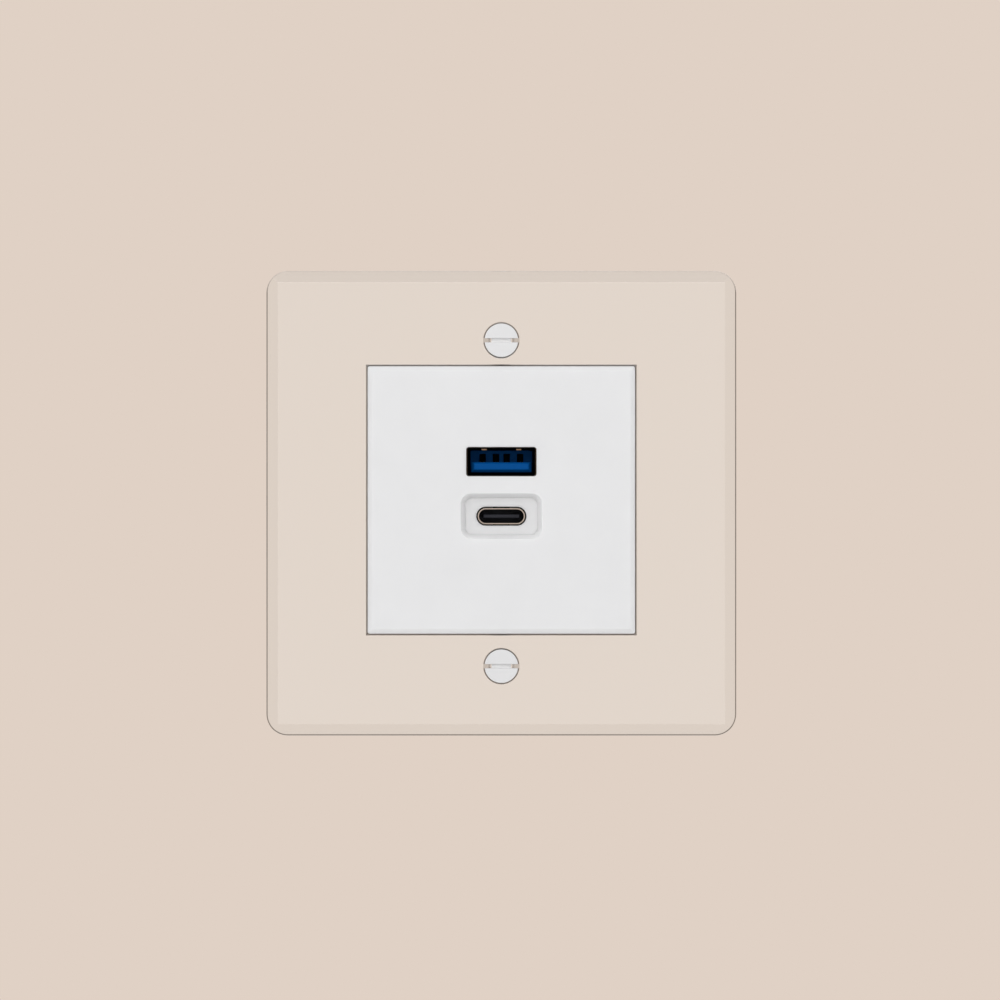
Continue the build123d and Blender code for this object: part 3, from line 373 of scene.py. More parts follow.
# The same plastic from a smoother mould, for the hidden back
housing_moulding = moulding("white_polycarbonate_satin", "#E1E1DE", 0.42, 0.5, 5)
# Blue polyester of the upper port, moulded smooth, and painted dark where the contact wells go deep into
# it, a painted shade where little light reaches
blue_moulding = moulding(
    "blue_polyester_smooth",
    "#004E92",
    0.6,
    0.3,
    3,
    cloud=0.05,
    well=(5.2, 8.2, 0.04),
    Specular_IOR_Level=0.05,
)
# Black liquid-crystal polymer of the lower port, slightly streaky
black_moulding = moulding(
    "black_liquid_crystal_polymer", "#2F3036", 0.5, 0.25, 4, cloud=0.1, Specular_IOR_Level=0.1
)
# Grey glass-filled nylon of the terminal block, duller where fibres reach the surface
terminal_moulding = moulding("grey_glass_filled_nylon", "#A0A3A4", 0.55, 0.3, 8, cloud=0.05)
# Black phenolic of the bobbin and the chip cases
phenolic_moulding = moulding("black_phenolic", "#262626", 0.5, 0.2, 6, cloud=0.08)
# Brown thermoplastic of the fuse case
fuse_moulding = moulding("brown_thermoplastic", "#5A3A22", 0.45, 0.3, 5, cloud=0.06)
# Tinned steel sheet of the upper port, dull and warm from its thin plating, and nearly black at its mouth
tinned_steel = drawn_metal("warm_tinned_steel_sheet", "#806A56", 0.36, 0.12, 3, well=(-2.9, -3.2, 0.12))
# Nickel over copper on the lower port, which keeps a warm tone at its cut edge. Behind the edge it is
# painted nearly black, a painted shade inside the port
nickel_copper = drawn_metal("nickel_over_copper", "#887F77", 0.3, 0.12, 3, well=(-2.28, -2.2, 0.08))
# Gold flash on the contacts
gold_flash = drawn_metal("gold_flash_on_bronze", "#D8B468", 0.25, 0.1, 2)
# Plain brass of the fixed terminal plates
plain_brass = drawn_metal("plain_rolled_brass", "#D2B062", 0.35, 0.15, 4)
# Zinc-plated steel of the clamps and terminal screws, with a faint blue passivation
zinc_steel = drawn_metal("zinc_plated_steel", "#C6CACC", 0.36, 0.2, 4, along=(1.0, 1.0, 1.0), stain=0.1)
print("finishes", len(bpy.data.materials))

# %% [markdown]
# ## Softened copies
# Every moulded or folded piece has edges rounded by its tool, and those edges catch the light. A CAD piece
# has perfectly sharp ones. A copy of the CAD mesh is merged, its flat triangles are made whole faces again,
# and the edges that are real corners get a Bevel of the tool's radius. The modifier's clamp makes it
# smaller on a piece with short edges, so that no faces overlap. Facets of a round stay smooth.

# %% The softening functions
FACET_ANGLE = radians(17.8)
CREASE_ANGLE = radians(35)
FLAT_ANGLE = radians(0.4)
WELD = 0.0005 * MM


def welded(made):
    """Merges doubles, joins coplanar faces into whole ones and turns all faces outwards."""
    shape = bmesh.new()
    shape.from_mesh(made.data)
    bmesh.ops.remove_doubles(shape, verts=shape.verts, dist=WELD)
    bmesh.ops.dissolve_limit(shape, angle_limit=FLAT_ANGLE, verts=shape.verts, edges=shape.edges)
    bmesh.ops.recalc_face_normals(shape, faces=shape.faces)
    shape.to_mesh(made.data)
    shape.free()
    made.data.shade_smooth()


def edge_angles(mesh):
    """The angle between the two faces at each edge of a closed mesh: arccos(normal . normal)."""
    edge_of_corner = np.empty(len(mesh.loops), np.int32)
    mesh.loops.foreach_get("edge_index", edge_of_corner)
    normals = np.empty(len(mesh.polygons) * 3)
    mesh.polygons.foreach_get("normal", normals)
    sides = np.empty(len(mesh.polygons), np.int32)
    mesh.polygons.foreach_get("loop_total", sides)
    face_of_corner = np.repeat(np.arange(len(mesh.polygons)), sides)
    pairs = normals.reshape(-1, 3)[face_of_corner[np.argsort(edge_of_corner, kind="stable")].reshape(-1, 2)]
    return np.arccos(np.clip((pairs[:, 0] * pairs[:, 1]).sum(1), -1, 1))


def edge_middles(mesh):
    """The middle of each edge."""
    points = np.empty(len(mesh.vertices) * 3)
    mesh.vertices.foreach_get("co", points)
    ends = np.empty(len(mesh.edges) * 2, np.int32)
    mesh.edges.foreach_get("vertices", ends)
    return points.reshape(-1, 3)[ends.reshape(-1, 2)].mean(1)


def soften(made, radius_mm, steps=2, share=1.0):
    """Rounds each edge sharper than a facet to its share of the radius. Those with no share stay crisp."""
    angles = edge_angles(made.data)
    weights = np.where(angles > FACET_ANGLE, share, 0.0)
    made.data.attributes.new("bevel_weight_edge", "FLOAT", "EDGE").data.foreach_set("value", weights)
    crisp = (angles > CREASE_ANGLE) & (weights == 0)
    made.data.attributes.new("sharp_edge", "BOOLEAN", "EDGE").data.foreach_set("value", crisp)
    bevel = made.modifiers.new("tool_radius", "BEVEL")
    bevel.limit_method = "WEIGHT"
    bevel.width = radius_mm * MM
    bevel.segments = steps
    bevel.harden_normals = True


def put_in_place(made, material, body, slot, *nodes):
    """Gives a piece its finish and its body, and hides the CAD nodes that it stands for. The slot is not
    used.
    """
    made.data.materials.clear()
    made.data.materials.append(material)
    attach(made, body)
    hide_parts(*nodes)


def softened_copy(name, node, material, body, slot, radius_mm, shares=None):
    """A copy of a CAD node's triangles, without stored normals and with rounded edges, in its place."""
    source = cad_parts[node].data
    points = np.empty(len(source.vertices) * 3)
    source.vertices.foreach_get("co", points)
    triangles = np.empty(len(source.loops), np.int32)
    source.loops.foreach_get("vertex_index", triangles)
    made = new_mesh(name, points.reshape(-1, 3), triangles.reshape(-1, 3))
    welded(made)
    soften(made, radius_mm, share=shares(edge_middles(made.data)) if shares else 1.0)
    put_in_place(made, material, body, slot, node)


# %% [markdown]
# The bezel's mould has sharp corners but for the recess round the lower port, whose rim and floor are
# rounder, so that a plug finds its way in. Its edges take a smaller share of that radius everywhere else.

# %% Softened pieces
RECESS_ROUNDING = 0.35
CRISP_SHARE = 0.34
RECESS_WIDTH = 15 * MM
RECESS_HEIGHT = 8.4 * MM
RECESS_DEPTH = 2.2 * MM
RECESS_MARGIN = 0.1 * MM
PORT_MARGIN = 0.6 * MM
DEPTH_MARGIN = 0.05 * MM
bezel_low, bezel_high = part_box("module_bezel")
port_low, port_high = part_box("usb_c_shell")


def recess_shares(middles):
    """1 on the rim and floor edges of the recess, outside the oval port, and CRISP_SHARE elsewhere."""
    across, _, up = abs(middles - (port_low + port_high) / 2).T
    in_width = across < RECESS_WIDTH / 2 + RECESS_MARGIN
    in_height = up < RECESS_HEIGHT / 2 + RECESS_MARGIN
    port_width, _, port_height = port_high - port_low
    off_port = (across > port_width / 2 + PORT_MARGIN) | (up > port_height / 2 + PORT_MARGIN)
    depth = middles[:, 1] - bezel_low.y
    on_rim_or_floor = (abs(depth) < DEPTH_MARGIN) | (abs(depth - RECESS_DEPTH) < DEPTH_MARGIN)
    return np.where(in_width & in_height & off_port & on_rim_or_floor, 1.0, CRISP_SHARE)


# Each piece's CAD node, finish, body, slot, edge radius in millimetres, and the shares of that radius
SOFTENED = {
    "bezel_moulding": (
        "module_bezel", white_moulding, "socket", "white_moulding", RECESS_ROUNDING, recess_shares
    ),
    "housing_shell": ("rear_housing", housing_moulding, "socket", "housing_moulding", 0.2),
    "upper_port_shell": ("usb_a_shell", tinned_steel, "socket", "port_steel", 0.06),
    "upper_port_tongue": ("usb_a_insulator", blue_moulding, "socket", "blue_insulator", 0.08),
    "upper_port_contacts": ("usb_a_contacts", gold_flash, "socket", "contact_gold", 0.05),
    "lower_port_shell": ("usb_c_shell", nickel_copper, "socket", "port_steel", 0.07),
    "lower_port_tongue": ("usb_c_insulator", black_moulding, "socket", "black_insulator", 0.03),
    "lower_port_contacts": ("usb_c_contacts", gold_flash, "socket", "contact_gold", 0.02),
    "terminal_housing": ("terminal_block", terminal_moulding, "socket", "terminal_moulding", 0.15),
}
for pole in ("line", "neutral"):
    SOFTENED[f"{pole}_clamp_ring"] = (
        f"{pole}_clamp", zinc_steel, f"{pole}_rising_clamp", "zinc_steel", 0.15
    )
    SOFTENED[f"{pole}_wire_plate"] = (
        f"{pole}_terminal_plate", plain_brass, "socket", "terminal_brass", 0.12
    )
for name, details in SOFTENED.items():
    softened_copy(name, *details)
print("softened pieces", len(SOFTENED))

# %% [markdown]
# ## Clear plate
# The plate is polished cast acrylic, 4 mm thick, with a bevel milled along all four sides. The bevels meet
# in mitres, and the corners were rounded after them. It is built from loops: each outline is an array of
# points, a wall is a loft between two loops, and a flat is the area between loops. Boolean cuts would give
# the same solid, but loops keep every edge clean, which matters in a material that shows all its edges.

# %% Loops, walls and flats
ONLY_INSIDE = 1
TOUCHING = 1e-9


def rounded_loop(width, height, radius, steps=12):
    """A rounded rectangle from the right side anticlockwise: corner centre + radius * (cos t, sin t)."""
    turn = np.arange(4)[:, None] * np.pi / 2 + np.linspace(0, np.pi / 2, steps + 1)
    corner = np.array([(1, 1), (-1, 1), (-1, -1), (1, -1)]) * (np.array([width, height]) / 2 - radius)
    return (corner[:, None] + radius * np.stack((np.cos(turn), np.sin(turn)), -1)).reshape(-1, 2)


def circle_loop(radius, height, steps=72):
    """A circle of this radius whose centre lies this far up: radius * (cos t, sin t) + (0, height)."""
    turn = np.linspace(0, 2 * np.pi, steps, endpoint=False)
    return radius * np.stack((np.cos(turn), np.sin(turn)), -1) + (0, height)


def at_depth(loop, depth):
    """The points of a loop at this depth, one for all or one for each: (x, z) becomes (x, depth, z)."""
    return np.stack((loop[:, 0], np.broadcast_to(depth, len(loop)), loop[:, 1]), -1)


def inside(points, loop):
    """Which points lie inside a loop: a ray to the right crosses it an odd number of times."""
    start, end = loop, np.roll(loop, -1, 0)
    spans = (start[:, 1] > points[:, 1:]) != (end[:, 1] > points[:, 1:])
    rise = np.where(end[:, 1] == start[:, 1], 1, end[:, 1] - start[:, 1])
    crossing = start[:, 0] + (points[:, 1:] - start[:, 1]) / rise * (end[:, 0] - start[:, 0])
    return (spans & (points[:, :1] < crossing)).sum(1) % 2 == 1


def wall(*loops):
    """The points and quads of a wall that passes through these loops in turn."""
    return np.concatenate(loops), loft_faces(len(loops), len(loops[0])).tolist()


def flat(depth, outer, *holes):
    """The points and triangles of a flat face at this depth, inside the outer loop, outside the holes."""
    loops = (outer, *holes)
    ends = np.cumsum([len(loop) for loop in loops])
    rims = [np.arange(end - len(loop), end) for loop, end in zip(loops, ends)]
    rim_edges = np.concatenate([np.stack((rim, np.roll(rim, -1)), -1) for rim in rims])
    corners = [Vector(corner) for corner in np.concatenate(loops)]
    points, _, triangles, *_ = geometry.delaunay_2d_cdt(
        corners, rim_edges.tolist(), [], ONLY_INSIDE, TOUCHING
    )
    points = np.array(points)
    middles = points[np.array(triangles)].mean(1)
    kept = inside(middles, outer) & ~np.any([inside(middles, hole) for hole in holes], axis=0)
    return at_depth(points, depth), np.array(triangles)[kept].tolist()


def joined(parts):
    """One array of points and one list of faces from several."""
    starts = np.cumsum([0] + [len(points) for points, _ in parts])
    faces = [[corner + start for corner in face] for (_, own), start in zip(parts, starts) for face in own]
    return np.concatenate([points for points, _ in parts]), faces


# %% The plate's shape
PLATE_CORNER = 4 * MM
BEVEL_WIDTH = 2.1 * MM
BEVEL_DEPTH = 1.2 * MM
APERTURE = 50 * MM
APERTURE_CORNER = 0.6 * MM
RAIL_THICKNESS = 1.6 * MM
RAIL_OVERHANG = 1.8 * MM
RAIL_SIDE_OVERHANG = 0.8 * MM
SCREW_SPACING = 60.3 * MM
HOLE_RADIUS = 2 * MM
COUNTERSINK_RADIUS = 3.35 * MM
ARRIS_MM = 0.18
ARRIS_STEPS = 3
front, back = plate_low.y, plate_high.y
plate_width, _, plate_height = plate_high - plate_low
plate_middle = (plate_low + plate_high) / 2
plate_centre = np.array((plate_middle.x, plate_middle.z))
outline = rounded_loop(plate_width, plate_height, PLATE_CORNER)
inset = np.minimum(plate_width / 2 - abs(outline[:, 0]), plate_height / 2 - abs(outline[:, 1]))
bevel_drop = BEVEL_DEPTH * np.clip(1 - inset / BEVEL_WIDTH, 0, 1)
outline = outline + plate_centre
face_size = (plate_width - 2 * BEVEL_WIDTH, plate_height - 2 * BEVEL_WIDTH)
face_edge = rounded_loop(*face_size, 0) + plate_centre
face_corners = rounded_loop(*face_size, 0, 0) + plate_centre
opening_middle = (bezel_low + bezel_high) / 2
opening_centre = np.array((opening_middle.x, opening_middle.z))
opening = rounded_loop(APERTURE, APERTURE, APERTURE_CORNER) + opening_centre
rail_size = (APERTURE - 2 * RAIL_SIDE_OVERHANG, APERTURE - 2 * RAIL_OVERHANG)
rail_opening = rounded_loop(*rail_size, 0, 0) + opening_centre
rail_front = back - RAIL_THICKNESS
plate_parts = [
    wall(at_depth(outline, back), at_depth(outline, front + bevel_drop), at_depth(face_edge, front)),
    wall(at_depth(opening, front), at_depth(opening, rail_front)),
    wall(at_depth(rail_opening, rail_front), at_depth(rail_opening, back)),
    flat(rail_front, opening, rail_opening),
]
cone_end = front + COUNTERSINK_RADIUS - HOLE_RADIUS
screw_heights = (plate_centre[1] + SCREW_SPACING / 2, plate_centre[1] - SCREW_SPACING / 2)
mouths = [circle_loop(COUNTERSINK_RADIUS, height) for height in screw_heights]
bores = [circle_loop(HOLE_RADIUS, height) for height in screw_heights]
for mouth, bore in zip(mouths, bores):
    plate_parts.append(wall(at_depth(mouth, front), at_depth(bore, cone_end), at_depth(bore, back)))
plate_parts.append(flat(front, face_corners, opening, *mouths))
plate_parts.append(flat(back, outline, rail_opening, *bores))
acrylic_plate = new_mesh("acrylic_plate", *joined(plate_parts))
welded(acrylic_plate)
soften(acrylic_plate, ARRIS_MM, ARRIS_STEPS)
print("plate", len(acrylic_plate.data.polygons), "faces before rounding")

# %% [markdown]
# The faces of the sheet are polished and show only what is behind them. Where a saw or a drill has cut it,
# along the sides, round the aperture and in the countersinks, the rim stays finely scored, though the cut
# itself was polished again. These rims are also tinted dark grey, a painted shade for the thin line of
# shadow along the plate's edges, round the aperture and round the screw heads. From the front these rims
# are thin dark lines, and they are what the eye finds the plate by. The finish works out how far a point
# lies from the nearest cut, and whether it faces the front.

# %% Polished cast acrylic with sawn rims in a painted shade
CLEAR_TINT = "#FAFDFE"
# The rims' dark grey is a painted shade for the thin shadow along the plate's edges and round the screws
PAINTED_RIM_SHADE = "#544F4A"
SHEET_TINT = "#DADADA"
SHEET_DENSITY = 3.0
POLISHED_ROUGHNESS = 0.012
SCORED_ROUGHNESS = 0.4
WAVE_WIDTH = 14 * MM
WAVE_DEPTH = 0.01 * MM
WAVE_STRENGTH = 0.15
CUT_WIDTH = 0.18 * MM
CUT_BLEND = 0.1 * MM
SIDE_NORMAL = 0.2
RIM_NORMAL = 0.6
SIDE_TINT = 0.04
TOP_FADE = 0.5 * MM
TOP_TINT = 0.08
SLOT_LIGHT = 0.35 * MM
SLOT_TINT = 0.42
# Clear, with the faint waves of a cast sheet, a trace of absorption and a hard mirror gloss
acrylic, tree, shader = finish_named("polished_cast_acrylic", IOR=1.49, Transmission_Weight=1.0)
sheet_place = add(tree, "ShaderNodeTexCoord").outputs["Object"]
from_centre = add(tree, "ShaderNodeVectorMath", {0: sheet_place, 1: plate_middle}, operation="SUBTRACT")
face_place = add(
    tree, "ShaderNodeVectorMath", {0: from_centre.outputs[0], 1: (1, 0, 1)}, operation="MULTIPLY"
)
folded = add(tree, "ShaderNodeVectorMath", {0: face_place.outputs[0]}, operation="ABSOLUTE")
corner_reach = (plate_width / 2 - PLATE_CORNER, 0, plate_height / 2 - PLATE_CORNER)
past_corner = add(
    tree, "ShaderNodeVectorMath", {0: folded.outputs[0], 1: corner_reach}, operation="SUBTRACT"
)
outward = add(
    tree, "ShaderNodeVectorMath", {0: past_corner.outputs[0], 1: (0, 0, 0)}, operation="MAXIMUM"
)
side_reach = add(tree, "ShaderNodeVectorMath", {0: outward.outputs[0]}, operation="LENGTH")
from_screw = add(
    tree, "ShaderNodeVectorMath", {0: folded.outputs[0], 1: (0, 0, SCREW_SPACING / 2)}, operation="SUBTRACT"
)
screw_reach = add(tree, "ShaderNodeVectorMath", {0: from_screw.outputs[0]}, operation="LENGTH")
from_opening = add(tree, "ShaderNodeVectorMath", {0: sheet_place, 1: opening_middle}, operation="SUBTRACT")
opening_place = add(tree, "ShaderNodeVectorMath", {0: from_opening.outputs[0]}, operation="ABSOLUTE")
opening_sides = add(tree, "ShaderNodeSeparateXYZ", {0: opening_place.outputs[0]})
opening_reach = add(
    tree,
    "ShaderNodeMath",
    {0: opening_sides.outputs["X"], 1: opening_sides.outputs["Z"]},
    operation="MAXIMUM",
)


def cut(reach, start, end):
    """A share of the acrylic's cut that goes from 0 to 1 as a distance goes from start to end."""
    return add(tree, "ShaderNodeMapRange", {"Value": reach, "From Min": start, "From Max": end}).outputs[0]


side_cut = PLATE_CORNER - CUT_WIDTH
sawn_side = cut(side_reach.outputs["Value"], side_cut - CUT_BLEND, side_cut)
sawn_opening = cut(opening_reach.outputs[0], APERTURE / 2 + CUT_BLEND, APERTURE / 2)
# The mouths of the countersinks take the same painted shade, a dark ring round each screw head
mouth_limits = (COUNTERSINK_RADIUS + CUT_BLEND / 2, COUNTERSINK_RADIUS - CUT_BLEND / 2)
drill_mouth = cut(screw_reach.outputs["Value"], *mouth_limits)
# Painted light: the cut at the two ends of the screw's slot takes less of the painted shade, where light
# enters along the slot
slot_side = add(tree, "ShaderNodeSeparateXYZ", {0: from_screw.outputs[0]}).outputs["Z"]
off_slot = add(tree, "ShaderNodeMath", {0: slot_side}, operation="ABSOLUTE")
slot_limits = {"From Min": SLOT_LIGHT, "From Max": SLOT_LIGHT + CUT_BLEND, "To Min": SLOT_TINT}
slot_painted_light = add(tree, "ShaderNodeMapRange", {"Value": off_slot.outputs[0], **slot_limits})
drilled = add(tree, "ShaderNodeMath", {0: drill_mouth, 1: slot_painted_light.outputs[0]}, operation="MULTIPLY")
# Painted light: the rim along the top takes little of the painted shade, as light from above fills it
height = add(tree, "ShaderNodeSeparateXYZ", {0: sheet_place}).outputs["Z"]
top_limits = {"From Min": plate_high.z - PLATE_CORNER, "From Max": plate_high.z - TOP_FADE, "To Min": 1.0}
top_share = add(tree, "ShaderNodeMapRange", {"Value": height, **top_limits, "To Max": TOP_TINT})
outer_rim = add(tree, "ShaderNodeMath", {0: sawn_side, 1: top_share.outputs[0]}, operation="MULTIPLY")
sawn = add(tree, "ShaderNodeMath", {0: outer_rim.outputs[0], 1: sawn_opening}, operation="MAXIMUM")
scored_and_shaded_share = add(tree, "ShaderNodeMath", {0: sawn.outputs[0], 1: drilled.outputs[0]}, operation="MAXIMUM")
# The painted shade lies only on the rims that face the front and back, and hardly on the cut's side walls
upright = add(tree, "ShaderNodeNewGeometry").outputs["Normal"]
upright_depth = add(tree, "ShaderNodeSeparateXYZ", {0: upright}).outputs["Y"]
to_front = add(tree, "ShaderNodeMath", {0: upright_depth}, operation="ABSOLUTE")
rim_limits = {"From Min": SIDE_NORMAL, "From Max": RIM_NORMAL, "To Min": SIDE_TINT}
rim_share = add(tree, "ShaderNodeMapRange", {"Value": to_front.outputs[0], **rim_limits})
tint_share = add(
    tree, "ShaderNodeMath", {0: scored_and_shaded_share.outputs[0], 1: rim_share.outputs[0]}, operation="MULTIPLY"
)
tint = add(
    tree,
    "ShaderNodeMix",
    {0: tint_share.outputs[0], 6: linear(CLEAR_TINT), 7: linear(PAINTED_RIM_SHADE)},
    data_type="RGBA",
)
scoring = add(
    tree,
    "ShaderNodeMapRange",
    {"Value": tint_share.outputs[0], "To Min": POLISHED_ROUGHNESS, "To Max": SCORED_ROUGHNESS},
)
waves = add(tree, "ShaderNodeTexNoise", {"Vector": sheet_place, "Scale": 1 / WAVE_WIDTH, "Detail": 1.0})
wave_bump = add(
    tree,
    "ShaderNodeBump",
    {"Strength": WAVE_STRENGTH, "Distance": WAVE_DEPTH, "Height": waves.outputs[0]},
)
tree.links.new(tint.outputs[2], shader.inputs["Base Color"])
tree.links.new(scoring.outputs[0], shader.inputs["Roughness"])
tree.links.new(wave_bump.outputs[0], shader.inputs["Normal"])
depth_tint = add(
    tree, "ShaderNodeVolumeAbsorption", {"Color": linear(SHEET_TINT), "Density": SHEET_DENSITY}
)
tree.links.new(depth_tint.outputs[0], tree.nodes["Material Output"].inputs["Volume"])
put_in_place(acrylic_plate, acrylic, "socket", "clear_acrylic", "clear_plate")
print("acrylic nodes", len(tree.nodes))

# %% [markdown]
# ## Screws
# The plate is held by two slotted countersunk machine screws with white stoved heads, and each mains
# terminal has a slotted cheese-head screw. A slotted head is two half discs with a groove between them, so
# each half is a loft of D-shaped loops. Below the slot the loops are whole circles. The thread is a grid
# round the shank whose radius follows a helix, so it is real geometry and not a bump.

# %% The screw's shape
SLOT_WIDTH = 0.74 * MM
SLOT_DEPTH = 1.25 * MM
TIP_CHAMFER = 0.5 * MM
GROOVE_REACH = 1.9
FLANK_SLOPE = 6.8
GROOVE_DEPTH = 0.55
ROWS_A_TURN = 8
HALF_STEPS = 24
END_STEPS = 4
HEAD_LEVELS = 4


def thread_radius(turn, depth, start, end, outer, pitch, way):
    """Outer radius less a groove that climbs a pitch a turn and runs out at both ends of the thread.

    The groove is GROOVE_REACH - FLANK_SLOPE * |phase - 0.5|, cut off at 0 and 1, which is a trapezoid.
    """
    phase = (depth / pitch + way * turn / (2 * np.pi)) % 1
    trapezoid = np.clip(GROOVE_REACH - FLANK_SLOPE * abs(phase - 0.5), 0, 1)
    run_out = np.clip((depth - start) / pitch, 0, 1) * np.clip((end - depth) / pitch, 0, 1)
    return outer - GROOVE_DEPTH * pitch * trapezoid * run_out


def slotted_screw(centre, top, tip, head_radius, taper, shoulders, outer, pitch):
    """A screw along Y: half heads of radius head_radius - taper * depth, then turned rows to the tip."""
    way = np.sign(tip - top)
    length = abs(tip - top)
    levels = np.linspace(0, SLOT_DEPTH, HEAD_LEVELS)[:, None]
    radii = head_radius - taper * levels
    reach = np.arcsin(SLOT_WIDTH / 2 / radii)
    arc = reach + np.linspace(0, 1, HALF_STEPS) * (np.pi - 2 * reach)
    half = np.stack((radii * np.cos(arc), levels + 0 * arc, radii * np.sin(arc)), -1)
    slot_end = np.linspace(-reach[-1, 0], reach[-1, 0], END_STEPS + 1)[1:-1]
    turn = np.concatenate((arc[-1], np.pi + slot_end, np.pi + arc[-1], 2 * np.pi + slot_end))
    thread_start = shoulders[-1][1]
    thread_end = length - TIP_CHAMFER
    rows = np.arange(thread_start, thread_end, pitch / ROWS_A_TURN)[:, None]
    turned = [(radii[-1, 0], SLOT_DEPTH), *shoulders]
    depths = np.concatenate(([[depth] for _, depth in turned], rows, [[thread_end], [length]]))
    thread = thread_radius(turn, rows, thread_start, thread_end, outer, pitch, way)
    shank_radii = np.concatenate(
        (
            np.repeat([[radius] for radius, _ in turned], len(turn), 1),
            thread,
            np.full((1, len(turn)), outer),
            np.full((1, len(turn)), outer - TIP_CHAMFER),
        )
    )
    shank = np.stack((shank_radii * np.cos(turn), depths + 0 * shank_radii, shank_radii * np.sin(turn)), -1)
    left_end = shank[0, HALF_STEPS - 1 : HALF_STEPS + END_STEPS]
    right_end = shank[0, 2 * HALF_STEPS + END_STEPS - 2 :]
    slot_floor = np.concatenate((left_end, right_end, shank[0, :1]))
    half_faces = loft_faces(len(levels), HALF_STEPS).tolist() + [list(range(HALF_STEPS))]
    last_row = (len(depths) - 1) * len(turn)
    tip_face = list(range(last_row, last_row + len(turn)))
    shank_faces = loft_faces(len(depths), len(turn)).tolist() + [tip_face]
    parts = (
        (half.reshape(-1, 3), half_faces),
        (half.reshape(-1, 3) * (1, 1, -1), half_faces),
        (slot_floor, [list(range(len(slot_floor)))]),
        (shank.reshape(-1, 3), shank_faces),
    )
    return [(points * (1, way, 1) + (centre[0], top, centre[1]), faces) for points, faces in parts]


def finish_screws(name, parts, head_depths, radius_mm):
    """A mesh of these screws, with the edges between the two head depths rounded and the rest crisp."""
    made = new_mesh(name, *joined(parts))
    welded(made)
    depth = edge_middles(made.data)[:, 1]
    soften(made, radius_mm, share=(depth > head_depths[0]) & (depth < head_depths[1]))
    return made


# %% White stoved fixing screws
HEAD_RADIUS = 3.15 * MM
NECK_RADIUS = 1.55 * MM
NECK_END = 0.2 * MM
THREAD_RADIUS = 1.75 * MM
THREAD_PITCH = 0.6 * MM
HEAD_MARGIN = 0.025 * MM
PAINTED_EDGE_MM = 0.08
screw_low, screw_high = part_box("plate_screws")
cone_depth = HEAD_RADIUS - NECK_RADIUS
neck = ((NECK_RADIUS, cone_depth), (NECK_RADIUS, NECK_END - screw_low.y))
screw_halves = [
    part
    for height in screw_heights
    for part in slotted_screw(
        (0, height), screw_low.y, screw_high.y, HEAD_RADIUS, 1, neck, THREAD_RADIUS, THREAD_PITCH
    )
]
head_depths = (-np.inf, screw_low.y + SLOT_DEPTH + HEAD_MARGIN)
fixing_screws = finish_screws("fixing_screws", screw_halves, head_depths, PAINTED_EDGE_MM)
# White stoved paint over steel: smooth, half gloss, with the faint orange peel of sprayed paint. Deep in
# the slots it is painted lighter, a painted light on the slot floors
stoved_paint = moulding("white_stoved_paint", "#DEDEDE", 0.34, 0.6, 6, well=(-3.9, -3.4, 1.32))
put_in_place(fixing_screws, stoved_paint, "socket", "white_paint", "plate_screws")
# Only the heads are painted: the shanks keep their zinc plating
fixing_screws.data.materials.append(zinc_steel)
face_centres = np.empty(len(fixing_screws.data.polygons) * 3)
fixing_screws.data.polygons.foreach_get("center", face_centres)
on_shank = face_centres.reshape(-1, 3)[:, 1] > screw_low.y + cone_depth
fixing_screws.data.polygons.foreach_set("material_index", on_shank.astype(np.int32))
print("fixing screws", len(fixing_screws.data.polygons), "faces")

# %% Zinc-plated terminal screws
TERMINAL_HEAD_RADIUS = 2.5 * MM
TERMINAL_HEAD_HEIGHT = 2 * MM
TERMINAL_THREAD_RADIUS = 1.5 * MM
TERMINAL_PITCH = 0.5 * MM
TERMINAL_EDGE_MM = 0.12
ROUNDED_HEAD_SHARE = 0.9
for pole in ("line", "neutral"):
    low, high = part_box(f"{pole}_terminal_screw")
    centre = ((low.x + high.x) / 2, (low.z + high.z) / 2)
    seat = ((TERMINAL_HEAD_RADIUS, TERMINAL_HEAD_HEIGHT),)
    parts = slotted_screw(
        centre, high.y, low.y, TERMINAL_HEAD_RADIUS, 0, seat, TERMINAL_THREAD_RADIUS, TERMINAL_PITCH
    )
    head_depths = (high.y - ROUNDED_HEAD_SHARE * TERMINAL_HEAD_HEIGHT, np.inf)
    terminal_screw = finish_screws(f"{pole}_clamp_screw", parts, head_depths, TERMINAL_EDGE_MM)
    put_in_place(terminal_screw, zinc_steel, f"{pole}_screw", "zinc_steel", f"{pole}_terminal_screw")
    print(pole, "terminal screw", len(terminal_screw.data.polygons), "faces")

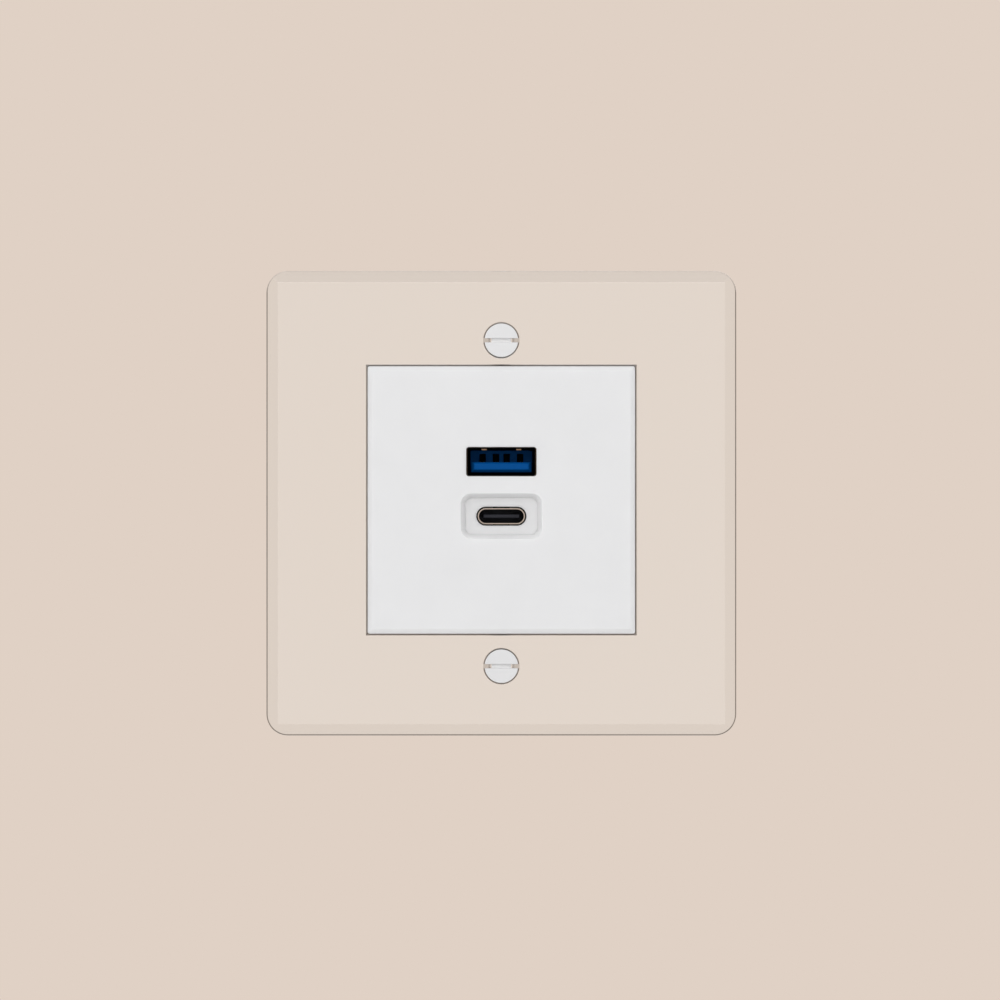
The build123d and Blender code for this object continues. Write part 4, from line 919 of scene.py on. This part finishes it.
# %% [markdown]
# ## Parts on the board
# These are inside the closed housing. Their CAD shapes are right as they are, so they only get finishes.

# %% Finishes of the board's parts
# Glass-epoxy laminate under green solder mask: glossy, with the glass weave just showing
laminate = moulding("green_solder_mask_on_glass_epoxy", "#0B341C", 0.28, 0.5, 8, cloud=0.06)
# Manganese-zinc ferrite: a fired ceramic, dark grey and dull
ferrite = moulding("fired_ferrite", "#3C3C40", 0.6, 0.15, 8, cloud=0.08)
# Polyester tape round the transformer coil
polyester_tape = moulding("yellow_polyester_tape", "#D8B830", 0.3, 0.8, 6, cloud=0.05)
# Copper wire under clear enamel: a warm metal with a soft gloss
enamelled_copper = drawn_metal("enamelled_copper_wire", "#C07848", 0.3, 0.4, 40, along=(0.05, 1.0, 0.05))
# Shrink sleeve of the larger cans
shrink_sleeve = moulding("black_shrink_sleeve", "#24272C", 0.35, 0.7, 5, cloud=0.06)
# Bare drawn aluminium of the smaller cans
drawn_aluminium = drawn_metal("drawn_aluminium", "#C9CBCC", 0.34, 0.15, 4)
# Dipped epoxy of the disc parts: a thick glossy drop
dipped_epoxy = moulding("blue_dipped_epoxy", "#2F6FA8", 0.3, 0.9, 10, cloud=0.05)
CARRIED_OVER = {
    "power_board": laminate,
    "transformer_core_front": ferrite,
    "transformer_core_rear": ferrite,
    "transformer_bobbin": phenolic_moulding,
    "transformer_winding": polyester_tape,
    "bulk_capacitor_1": shrink_sleeve,
    "bulk_capacitor_2": shrink_sleeve,
    "output_capacitor_1": drawn_aluminium,
    "output_capacitor_2": drawn_aluminium,
    "choke_core": ferrite,
    "choke_winding": enamelled_copper,
    "fuse": fuse_moulding,
    "varistor": dipped_epoxy,
    "suppression_capacitor": dipped_epoxy,
    "bridge_rectifier": phenolic_moulding,
    "optocoupler": phenolic_moulding,
    "controller_chip": phenolic_moulding,
}
for node, material in CARRIED_OVER.items():
    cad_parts[node].material_slots[0].material = material
print("carried over", len(CARRIED_OVER))

# %% Sizes
bpy.context.view_layer.update()
low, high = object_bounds()
print("visual size in mm", [round(v / MM, 2) for v in high - low])
